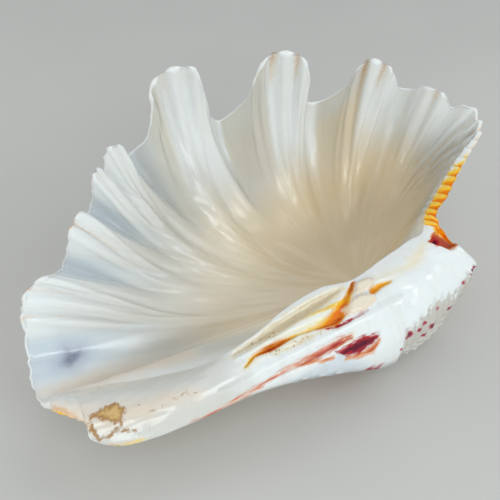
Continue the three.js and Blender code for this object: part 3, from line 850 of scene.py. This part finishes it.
def bowl_rows():
    """Rows from just off the bowl corner to the lip, closer together near the lip."""
    q = np.linspace(0, 1, ROWS_BOWL + 1)[1:]
    return 1 - (1 - q) ** ROW_CROWDING


def plate_rows():
    """Rows across the plate, from just off the lip to the outer edge."""
    return np.linspace(0, 1, ROWS_PLATE + 1)[1:]


def outside_rows():
    """Rows from just off the outer edge to just off the beak, closer together near the edge."""
    q = np.linspace(0, 1, ROWS_OUTSIDE + 2)[1:-1]
    return 1 - q**ROW_CROWDING


def grid_normals(points):
    """Unit normals of a grid that is closed across its columns, from differences along both ways."""
    across = np.roll(points, -1, axis=1) - np.roll(points, 1, axis=1)
    down = np.gradient(points, axis=0)
    normal = np.cross(across, down)
    return normal / np.maximum(np.linalg.norm(normal, axis=-1), 1e-9)[..., None]


def open_normals(points):
    """Unit normals of a grid that starts with the bowl, turned so that they point out of the wall."""
    normals = grid_normals(points)
    return normals * np.sign(normals[ROWS_BOWL // 2, points.shape[1] // 4, 2])


def bowl_forms(points, u, ridge):
    """Height of the small forms of the bowl: fine ridges along the folds, ribs in the front, faint waves."""
    t = bowl_rows()[:, None]
    forms = fine_ridges(fold_place(u)) * ridge * eased(RIDGE_ROWS, t) + FRONT_RIB * front_ribs(u)
    return forms + ripple(points, BOWL_WAVES) * smooth_step(BOWL_WAVE_ROWS, t)


def plate_forms(points, u, ridge):
    """Height of the small forms of the plate: ends of fine ridges, waves, ribbed strip and worn beak."""
    x, y = points[..., 0], points[..., 1]
    hinge = 1 - fan_share(u)
    waves = ripple(points, PLATE_SWELLS) * smooth_step(PLATE_SWELL_X, x)
    waves = waves + ripple(points * PLATE_WAVE_STRETCH, PLATE_WAVES)
    waves = waves * smooth_step(PLATE_WAVE_ROWS, plate_rows()[:, None])
    ribs = cords(x, STRIP_RIBS) * smooth_step(STRIP_RIB_X, x) * smooth_step(STRIP_RIB_Y, y)
    return PLATE_RIDGE_SHARE * ridge * fine_ridges(u) + (waves + worn_front(points) + ribs) * hinge


def outside_forms(points, u, ridge, step):
    """Height of the small forms of the outside.

    Growth steps are saw teeth along the rows. Cords are cosines along the loop, and ribs lie under the
    grooves of the folds. The front of the beak is ribbed and swells out.
    """
    t = outside_rows()[:, None]
    x = points[..., 0]
    fan = fan_share(u)
    teeth = np.mod(GROWTH_STEPS * t + ripple(points, GROWTH_WAVES), 1.0) - 0.5
    growth = step * teeth * hump(GROWTH_ROWS, t)
    radial = cords(u, LOOP_CORDS) * fan * smooth_step(LOOP_CORD_ROWS, t)
    forms = growth + radial + ripple(points, PITS) * hump(PIT_ROWS, t)
    forms = forms * (1 - MARGIN_LOSS * fan * smooth_step(MARGIN_LOSS_ROWS, t))
    ribs = RIB_MATCH * ridge * fine_ridges(u) * fan * eased(RIB_ROWS, t)
    beak = worn_front(points) * smooth_step(BEAK_FRONT_ROWS, t) * smooth_step(BEAK_FRONT_X, x)
    beak = beak + BEAK_SWELL * hump(BEAK_SWELL_X, x) * hump(BEAK_SWELL_ROWS, t)
    return forms - ribs + beak * (1 - fan)


def shell_relief(points, u, settings):
    """Height of the small forms over the smooth bands, for every point of the grid."""
    return np.concatenate([
        bowl_forms(points[BOWL_PART], u, settings.ridge),
        plate_forms(points[PLATE_PART], u, settings.ridge),
        outside_forms(points[OUT_PART], u, settings.ridge, settings.growth / MM),
    ])


def worn_edge(points):
    """How far a point lies beyond the ragged edge of the worn beak, towards the ribbed front, in mm."""
    x, y = points[..., 0], points[..., 1]
    border = np.interp(x, [place[0] for place in WORN_EDGE], [place[1] for place in WORN_EDGE])
    return border - y + cords(x, WORN_SCALLOPS) + ripple(points, WORN_WAVES)


def worn_front(points):
    """Height of the ribbed front of the beak: a step down at the worn edge, then ribs side by side."""
    height = cords(points[..., 0], WORN_CORDS) - WORN_STEP
    return height * smooth_step(WORN_BORDER, worn_edge(points))


def resting_pose():
    """Rotation from the shell's own frame to the row's: tilt about x, slope of the hinge, then yaw."""
    yaw, slope, tilt = np.radians([YAW_DEG, -HINGE_SLOPE_DEG, TILT_DEG])
    about_z = np.array([[np.cos(yaw), -np.sin(yaw), 0], [np.sin(yaw), np.cos(yaw), 0], [0, 0, 1]])
    about_y = np.array([[np.cos(slope), 0, np.sin(slope)], [0, 1, 0], [-np.sin(slope), 0, np.cos(slope)]])
    about_x = np.array([[1, 0, 0], [0, np.cos(tilt), -np.sin(tilt)], [0, np.sin(tilt), np.cos(tilt)]])
    return about_z @ about_y @ about_x


def to_row(points):
    """Points of the shell's own frame in mm as points of the row's frame in metres, cut flat below."""
    placed = points @ resting_pose().T + SEAT
    placed[..., 2] = np.maximum(placed[..., 2], 0.0)
    return placed * MM


def raise_to(field, values):
    """Raises a part of a field, in place, to the values that are higher."""
    np.maximum(field, values, out=field)


def stain_masks(points):
    """How far every point lies inside each kind of stain, in mm, from the drawn shapes and the spots."""
    masks = {name: np.full(points.shape[:2], -FAR_OFF) for name in STAIN_LOOKS}
    x, y = points[..., 0], points[..., 1]
    near_edge = outside_rows()[:, None] > STAINED_ROW
    for name, shapes in PLATE_STAINS.items():
        masks[name][PLATE_TO_OUT] = stain_field(x[PLATE_TO_OUT], y[PLATE_TO_OUT], shapes)
        masks[name][OUT_PART] = np.where(near_edge, masks[name][OUT_PART], -FAR_OFF)
    for name, shapes in BOWL_STAINS.items():
        raise_to(masks[name][BOWL_TO_PLATE], stain_field(x[BOWL_TO_PLATE], y[BOWL_TO_PLATE], shapes))
    for *place, radius in SPOTS:
        away = np.linalg.norm(points[PLATE_TO_OUT] - np.array(place), axis=-1)
        raise_to(masks["spot"][PLATE_TO_OUT], radius - away)
    return masks


def add_front_stains(masks, u):
    """Bands of colour on the toothed front.

    Each is a sum in mm: a rise across the rows towards the edge, a rise between the teeth, and a loss
    towards the far end of the front. Yellow and amber reach further in on their way to the beak.
    """
    s, t = plate_rows()[:, None], bowl_rows()[:, None]
    turn, tooth = front_turn(u), front_tooth(u)
    inner_end = mix(0.9, 0.0, smooth_step((0.35, 0.8), turn))
    late = smooth_step((0.5, 0.8), turn)
    band = 2.4 * (s - inner_end) + 1.2 * (0.55 - tooth) - 4.0 * smooth_step((0.6, 0.3), turn)
    blush = 20.0 * (t - 0.95) + 1.6 * (0.5 - tooth) - 3.0 * smooth_step((0.5, 0.3), turn)
    bands = [
        ("tip", PLATE_PART, 2.0 * (s - 0.6) + 0.9 * (0.5 - tooth) - 2.0 * smooth_step((0.2, 0.0), turn)),
        ("yellow", PLATE_PART, band + 0.7 + 0.8 * late),
        ("amber", PLATE_PART, band + 2.2 * (0.45 - tooth) - 0.5),
        ("tip", BOWL_PART, np.where(u < FRONT_END, blush, -FAR_OFF)),
        ("yellow", BOWL_PART, 22.0 * (t - 0.965) + 1.4 * (0.4 - tooth) - 4.0 * (1 - late)),
    ]
    on_front = (u > FRONT_START) & (u < FRONT_END + FRONT_OVERRUN)
    for name, part, field in bands:
        raise_to(masks[name][part], np.where(on_front, field, -FAR_OFF))


def add_fold_stains(masks, points, u):
    """A tint on the tips of the tall folds, and brown lines in the grooves, browner towards the front."""
    s = plate_rows()[:, None]
    tall = (fan_share(u) * (1 - front_stretch(u)) > 0.5) & (points[ROWS_BOWL - 1, :, 2] > TALL_FOLD)
    raise_to(masks["tip"][PLATE_PART], np.where(tall, 1.4 * (s - 0.8), -FAR_OFF))
    browner = mix(0.35, 1.25, smooth_step((31.0, 46.0), u)) * smooth_step((58.0, 56.0), u)
    grooves = GROOVE_TINT * browner * np.clip(-fine_ridges(u), 0.0, None) - GROOVE_TINT_LOSS
    fade = GROOVE_FADE * smooth_step(GROOVE_FADE_ROWS, bowl_rows()[:, None])
    raise_to(masks["line"][BOWL_PART], along_loop(u, grooves, fold_place(u)) - fade)
    raise_to(masks["line"][PLATE_PART], grooves)


def tone_masks(points, u):
    """Shares of the tones at every point.

    In the bowl, ivory and warmth grow towards the bottom, partly as the bowl's own tones and partly as
    painted shade and warm bounce light. On the climbing flanks of the folds they are painted shade, the gaps
    between the rear folds get a darker bluish white as painted shade, and the front ribs get whiter crests
    and warmer valleys as painted light and shade. On the plate, ivory lies along the lip and on the rear
    end, the lower strip by the beak gets the darker bluish white as a painted shadow, and the ribbed front
    below the beak gets grey, partly its own tint and partly painted shade.
    """
    tones = {name: np.zeros(points.shape[:2]) for name in ("cool_shade", "ivory", "warmth", "outside", "worn")}
    t = bowl_rows()[:, None]
    height = points[ROWS_BOWL - 1, :, 2]
    # Painted shade on the climbing flanks of the folds.
    shaded_flank = smooth_step(FLANK_CLIMB, np.gradient(height, u)) * hump(FLANK_PLACES, u)
    shaded_flank = along_loop(u, shaded_flank, fold_place(u))
    # Ivory and warmth deeper in the bowl: partly its own tones, partly painted shade and bounce light.
    white_end = mix(*WHITE_ENDS, hump(WHITE_PLACES, u))
    flank_shade_ivory = FLANK_SHADE_IVORY * shaded_flank * smooth_step(FLANK_SHADE_IVORY_ROWS, t)
    tones["ivory"][BOWL_PART] = np.maximum(1 - smooth_step(IVORY_FADE, t - white_end), flank_shade_ivory)
    cream_end = mix(*CREAM_ENDS, smooth_step(CREAM_PLACES, u) * fan_share(u))
    flank_shade_share = mix(*FLANK_SHADE_WARMTH, smooth_step(FLANK_SHADE_WARM_PLACES, u))
    flank_shade_warmth = shaded_flank * flank_shade_share * smooth_step(FLANK_SHADE_WARM_ROWS, t)
    warmth = np.maximum(1 - smooth_step(CREAM_FADE, t - cream_end), flank_shade_warmth)
    # Whiter crests and warmer valleys of the front ribs: painted light and shade.
    tones["warmth"][BOWL_PART] = warmth - RIB_LIGHT_AND_SHADE * front_ribs(u)
    # Painted shade in the gaps between the rear folds.
    cool_shade = (1 + GAP_SHADE_REAR * smooth_step(GAP_SHADE_REAR_PLACES, u)) * smooth_step(GAP_SHADE_HEIGHT, height)
    tones["cool_shade"][BOWL_PART] = cool_shade * hump(GAP_SHADE_PLACES, u) * smooth_step(GAP_SHADE_ROWS, t)

    x, y = points[PLATE_PART, :, 0], points[PLATE_PART, :, 1]
    hinge = 1 - fan_share(u)
    lip_ivory = LIP_IVORY * smooth_step(LIP_IVORY_ROWS, plate_rows()[:, None])
    ivory = np.clip(lip_ivory + REAR_IVORY * smooth_step(REAR_IVORY_X, x), 0.0, 1.0)
    tones["ivory"][PLATE_PART] = hinge * ivory
    # Painted shadow on the lower strip by the beak.
    lower_strip_shadow = smooth_step(STRIP_SHADOW_X, x) * smooth_step(STRIP_SHADOW_Y, y)
    tones["cool_shade"][PLATE_PART] = STRIP_SHADOW * hinge * lower_strip_shadow
    tones["outside"][OUT_PART] = smooth_step(CHALK_ROWS, outside_rows()[:, None])
    # Grey of the ribbed front below the beak's edge: partly its own tint, partly painted shade.
    tones["worn"][PLATE_TO_OUT] = smooth_step(WORN_BORDER, worn_edge(points[PLATE_TO_OUT])) * hinge
    tones["deep"] = smooth_step(DEEP_X, points[..., 0])
    return tones


def shell_masks(points, u):
    """Values the finish reads at every point: how far inside each kind of stain, and shares of the tones."""
    masks = stain_masks(points)
    add_front_stains(masks, u)
    add_fold_stains(masks, points, u)
    return {**masks, **tone_masks(points, u)}


def grain_places(u):
    """Coordinates that follow the surface: a circle round the loop, and the distance from pole to pole."""
    around = 2 * np.pi * u / LOOP_COUNT
    rows = np.concatenate([bowl_rows(), 1 + GRAIN_PLATE * plate_rows(), 2 + GRAIN_PLATE - outside_rows()])
    shape = (len(rows), len(u))
    return np.stack([
        np.broadcast_to(GRAIN_SCALE * np.cos(around), shape),
        np.broadcast_to(GRAIN_SCALE * np.sin(around), shape),
        np.broadcast_to(GRAIN_SCALE * rows[:, None], shape),
    ], axis=-1)


def skin_faces(rows, columns):
    """Faces of a grid closed across its columns, with a pole before its first row and one after its last."""
    grid = 1 + np.arange(rows * columns).reshape(rows, columns)
    after = np.roll(grid, -1, axis=1)
    quads = np.stack([grid[:-1], after[:-1], after[1:], grid[1:]], axis=-1).reshape(-1, 4)
    first = np.stack([np.zeros(columns, int), after[0], grid[0]], axis=-1)
    last = np.stack([np.full(columns, 1 + rows * columns), grid[-1], after[-1]], axis=-1)
    return quads, np.vstack([first, last])


def shell_mesh(settings):
    """The shell as one closed mesh with its attributes."""
    u = column_places()
    points = shell_bands(u, settings.tooth / MM)
    points = points + open_normals(points) * shell_relief(points, u, settings)[..., None]
    quads, fans = skin_faces(*points.shape[:2])
    flat = np.vstack([BOWL_CORNER, points.reshape(-1, 3), BEAK])
    mesh = bpy.data.meshes.new("shell_skin")
    mesh.from_pydata(to_row(flat), [], quads.tolist() + fans.tolist())
    mesh.shade_smooth()
    for name, values in shell_masks(points, u).items():
        column = np.concatenate([[values[0, 0]], values.ravel(), [values[-1, 0]]])
        mesh.attributes.new(name, "FLOAT", "POINT").data.foreach_set("value", column.astype(np.float32))
    far_pole = [0, 0, GRAIN_SCALE * (2 + GRAIN_PLATE)]
    vectors = {"own": flat, "grain": np.vstack([[0, 0, 0], grain_places(u).reshape(-1, 3), far_pole])}
    for name, values in vectors.items():
        mesh.attributes.new(name, "FLOAT_VECTOR", "POINT").data.foreach_set(
            "vector", values.astype(np.float32).ravel())
    mesh.validate()
    return mesh


def add_node(tree, kind, inputs=None, **settings):
    """Adds a node; inputs maps a socket to a value or to another node's output."""
    node = tree.nodes.new(kind)
    for name, value in settings.items():
        setattr(node, name, value)
    for key, value in (inputs or {}).items():
        if isinstance(value, NodeSocket):
            tree.links.new(value, node.inputs[key])
        else:
            node.inputs[key].default_value = value
    return node


def attribute(tree, name, output="Fac"):
    """One of the mesh's own attributes."""
    return add_node(tree, "ShaderNodeAttribute", attribute_name=name).outputs[output]


def noise(tree, vector, scale, detail=3.0, roughness=0.55):
    """Cloudy noise between 0 and 1."""
    inputs = {"Vector": vector, "Scale": scale, "Detail": detail, "Roughness": roughness}
    return add_node(tree, "ShaderNodeTexNoise", inputs).outputs["Fac"]


def between(tree, value, low, high):
    """0 where the value is under low, 1 where it is over high, smooth between."""
    inputs = {"Value": value, "From Min": low, "From Max": high}
    return add_node(tree, "ShaderNodeMapRange", inputs, interpolation_type="SMOOTHSTEP").outputs["Result"]


def math_node(tree, operation, *values):
    """One sum or product; MULTIPLY_ADD takes a third value, which is added."""
    return add_node(tree, "ShaderNodeMath", dict(enumerate(values)), operation=operation).outputs["Value"]


def opaque(colour):
    """A colour with full alpha; the output of a node stays as it is."""
    return colour if isinstance(colour, NodeSocket) else (*colour, 1.0)


def blend(tree, share, a, b):
    """A colour a share of the way from a to b."""
    inputs = {0: share, 6: opaque(a), 7: opaque(b)}
    return add_node(tree, "ShaderNodeMix", inputs, data_type="RGBA").outputs[2]


def scaled(tree, vector, factors):
    """Coordinates stretched by a factor along each axis."""
    return add_node(tree, "ShaderNodeMapping", {"Vector": vector, "Scale": factors}).outputs["Vector"]


def away_from_corner(tree):
    """0 in the corner of the bowl, where the lines of the grain crowd, and 1 further out."""
    apart = add_node(tree, "ShaderNodeSeparateXYZ", {"Vector": attribute(tree, "grain", "Vector")})
    return between(tree, apart.outputs["Z"], 20.0, 60.0)


def inside_colour(tree, settings):
    """White of the inside: ivory and warmth as the tones say, partly painted shade and light, a darker
    bluish white as painted shade, and faint streaks along the folds.
    """
    grain = attribute(tree, "grain", "Vector")
    white = blend(tree, attribute(tree, "ivory"), settings.porcelain, settings.ivory)
    # Painted shade: a darker bluish white in the gaps of the rear folds and on the lower strip by the beak.
    cool_shade = math_node(tree, "MULTIPLY", attribute(tree, "cool_shade"), 0.55)
    white = blend(tree, cool_shade, white, COOL_SHADE_WHITE)
    clouds = noise(tree, attribute(tree, "own", "Vector"), 0.028, 3.0)
    warm = math_node(tree, "MULTIPLY_ADD", clouds, 0.3, attribute(tree, "warmth"))
    # The lighter cream towards the rear is partly painted light.
    cream = blend(tree, attribute(tree, "deep"), settings.cream, settings.beige)
    white = blend(tree, between(tree, warm, 0.15, 1.1), white, cream)
    streaks = noise(tree, scaled(tree, grain, (1.0, 1.0, 0.03)), 0.5, 4.0)
    faint = math_node(tree, "MULTIPLY", between(tree, streaks, 0.5, 0.8), 0.2)
    faint = math_node(tree, "MULTIPLY", faint, away_from_corner(tree))
    return blend(tree, faint, white, STREAK)


def outside_colour(tree, settings):
    """Chalk of the outside with growth bands, and reddish blotches that keep to the bands."""
    grain = attribute(tree, "grain", "Vector")
    growth = noise(tree, scaled(tree, grain, (0.05, 0.05, 1.0)), 0.4, 4.0)
    chalk = blend(tree, between(tree, growth, 0.35, 0.7), settings.chalk, GROWTH_BAND)
    blotches = between(tree, noise(tree, scaled(tree, grain, (0.5, 0.5, 1.0)), 0.22, 3.0, 0.5), 0.58, 0.68)
    blotches = math_node(tree, "MULTIPLY", blotches, between(tree, growth, 0.3, 0.55))
    return blend(tree, math_node(tree, "MULTIPLY", blotches, 0.7), chalk, BLOTCH)


def stained(tree, colour):
    """A colour with all stains over it: noise is added to the field of a stain before it is cut off."""
    own = attribute(tree, "own", "Vector")
    for number, (name, look) in enumerate(STAIN_LOOKS.items()):
        border, middle, soft, ragged, depth, strength, stretch, grain_size = look
        shifted = add_node(tree, "ShaderNodeMapping", {
            "Vector": own, "Location": (17.0 * number, 5.0, 0.0), "Scale": (stretch, 1.0, 1.0)})
        edge = noise(tree, shifted.outputs["Vector"], grain_size, 4.0, 0.6)
        shift = math_node(tree, "MULTIPLY", math_node(tree, "SUBTRACT", edge, 0.5), 2.0 * ragged)
        field = math_node(tree, "ADD", attribute(tree, name), shift)
        mask = math_node(tree, "MULTIPLY", between(tree, field, -soft, soft), strength)
        tint = blend(tree, between(tree, field, 0.0, depth), border, middle)
        colour = blend(tree, mask, colour, tint)
    return colour


def gloss_level(tree):
    """Strength of the highlights: weaker on the stains that are dull."""
    deepest = attribute(tree, DULL_STAINS[0])
    for name in DULL_STAINS[1:]:
        deepest = math_node(tree, "MAXIMUM", deepest, attribute(tree, name))
    return math_node(tree, "MULTIPLY_ADD", between(tree, deepest, -0.8, 0.4), -0.4, 0.5)


def fine_bump(tree):
    """Bump of fine lines that run with the folds, and of pores on the outside."""
    lines = noise(tree, scaled(tree, attribute(tree, "grain", "Vector"), (1.0, 1.0, 0.04)), 1.2, 3.0)
    pores = noise(tree, attribute(tree, "own", "Vector"), 0.9, 2.0)
    pores = math_node(tree, "MULTIPLY", pores, attribute(tree, "outside"))
    height = math_node(tree, "MULTIPLY_ADD", lines, away_from_corner(tree), pores)
    bump = add_node(tree, "ShaderNodeBump", {"Height": height, "Strength": 0.2, "Distance": 0.0006})
    return bump.outputs["Normal"]


def shell_material(settings):
    """Glossy porcelain inside, chalk outside, grey on the ribbed front under the beak, partly its own tint
    and partly painted shade, and the stains over all of it.
    """
    material = bpy.data.materials.new("shell_porcelain")
    material.use_nodes = True
    tree = material.node_tree
    tree.nodes.clear()
    outside = attribute(tree, "outside")
    colour = blend(tree, outside, inside_colour(tree, settings), outside_colour(tree, settings))
    # Grey on the ribbed front under the beak: partly its own tint, partly painted shade of the overhang.
    colour = blend(tree, attribute(tree, "worn"), colour, RIBBED_FRONT_SHADE_GREY)
    shader = add_node(tree, "ShaderNodeBsdfPrincipled", {
        "Base Color": stained(tree, colour),
        "Roughness": math_node(tree, "MULTIPLY_ADD", outside, 0.4, 0.17),
        "Specular IOR Level": gloss_level(tree),
        "Normal": fine_bump(tree),
        "IOR": 1.53,
        "Subsurface Weight": 0.1,
        "Subsurface Radius": (1.0, 0.7, 0.45),
        "Subsurface Scale": 0.0012,
    })
    output = add_node(tree, "ShaderNodeOutputMaterial", {"Surface": shader.outputs["BSDF"]})
    output.is_active_output = True
    return material


def floor_material(settings):
    """Plain pale floor with a faint cloudiness."""
    material = bpy.data.materials.new("stage_floor")
    material.use_nodes = True
    tree = material.node_tree
    shader = tree.nodes["Principled BSDF"]
    place = add_node(tree, "ShaderNodeTexCoord").outputs["Object"]
    tint = tuple(0.96 * value for value in settings.floor)
    clouds = between(tree, noise(tree, place, 6.0), 0.3, 0.7)
    tree.links.new(blend(tree, clouds, settings.floor, tint), shader.inputs["Base Color"])
    shader.inputs["Roughness"].default_value = 0.6
    return material


def place_object(name, data):
    """Puts data into the scene as an object at the origin."""
    made = bpy.data.objects.new(name, data)
    bpy.context.scene.collection.objects.link(made)
    return made


def add_area_light(name, place, size, power, colour):
    """A square soft light that faces the shell."""
    lamp = bpy.data.lights.new(name, "AREA")
    lamp.shape = "SQUARE"
    lamp.size = size
    lamp.energy = power
    lamp.color = colour
    made = place_object(name, lamp)
    made.location = place
    aim = np.array(place) - np.array(LIGHT_TARGET)
    made.rotation_euler = (
        math.atan2(math.hypot(aim[0], aim[1]), aim[2]), 0.0, math.atan2(aim[0], -aim[1]))


def add_floor(settings):
    """A square floor at the height of the table."""
    corners = [(x * FLOOR_HALF, y * FLOOR_HALF, 0) for x, y in ((-1, -1), (1, -1), (1, 1), (-1, 1))]
    mesh = bpy.data.meshes.new("floor_sheet")
    mesh.from_pydata(corners, [], [(0, 1, 2, 3)])
    mesh.materials.append(floor_material(settings))
    place_object("floor", mesh)


def add_sky(scene):
    """Even light from all round."""
    world = bpy.data.worlds.new("studio")
    world.use_nodes = True
    background = world.node_tree.nodes["Background"]
    background.inputs["Color"].default_value = opaque(SKY)
    background.inputs["Strength"].default_value = SKY_STRENGTH
    scene.world = world
    scene.view_settings.view_transform = "Standard"


def add_camera(scene, settings):
    """The camera, which looks down along the middle of the picture."""
    camera = bpy.data.cameras.new("camera")
    camera.lens = settings.lens
    camera.sensor_width = SENSOR_WIDTH
    camera.clip_start = NEAREST_SEEN
    made = place_object("camera", camera)
    made.location = settings.camera_place
    made.rotation_euler = (math.pi / 2 - settings.camera_pitch, 0.0, 0.0)
    scene.camera = made


class CLAM_OT_shell(Operator):
    """Build the shell with its folds, hinge plate, toothed front and finish"""

    bl_idname = "clam.shell"
    bl_label = "Build shell"

    def execute(self, context):
        settings = context.scene.clam_shell
        mesh = shell_mesh(settings)
        if len(mesh.polygons) == 0:
            raise RuntimeError("the shell has no faces")
        mesh.materials.append(shell_material(settings))
        piece = place_object("shell_visual", mesh)
        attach(piece, "root")
        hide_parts("shell")
        return {"FINISHED"}


class CLAM_OT_stage(Operator):
    """Set up the floor, the lights and the camera"""

    bl_idname = "clam.stage"
    bl_label = "Build stage"

    def execute(self, context):
        settings = context.scene.clam_stage
        add_floor(settings)
        for name, light in LIGHTS.items():
            add_area_light(name, *light)
        add_sky(context.scene)
        add_camera(context.scene, settings)
        return {"FINISHED"}


class CLAM_PT_panel(Panel):
    """Lists the shell's settings and the steps that build it"""

    bl_label = "Clam shell"
    bl_idname = "CLAM_PT_panel"
    bl_space_type = "VIEW_3D"
    bl_region_type = "UI"
    bl_category = "Clam Shell"

    def draw(self, context):
        for settings in (context.scene.clam_shell, context.scene.clam_stage):
            for name in settings.__annotations__:
                self.layout.prop(settings, name)
        self.layout.operator(CLAM_OT_shell.bl_idname)
        self.layout.operator(CLAM_OT_stage.bl_idname)


CLASSES = (ShellSettings, StageSettings, CLAM_OT_shell, CLAM_OT_stage, CLAM_PT_panel)


def register():
    """Makes the classes known and hangs the settings on the scene."""
    for item in CLASSES:
        bpy.utils.register_class(item)
    bpy.types.Scene.clam_shell = PointerProperty(type=ShellSettings)
    bpy.types.Scene.clam_stage = PointerProperty(type=StageSettings)


def unregister():
    """Takes the settings and the classes away again."""
    del bpy.types.Scene.clam_stage
    del bpy.types.Scene.clam_shell
    for item in reversed(CLASSES):
        bpy.utils.unregister_class(item)


def main():
    register()
    bpy.ops.clam.shell()
    bpy.ops.clam.stage()


if __name__ == "__main__":
    main()
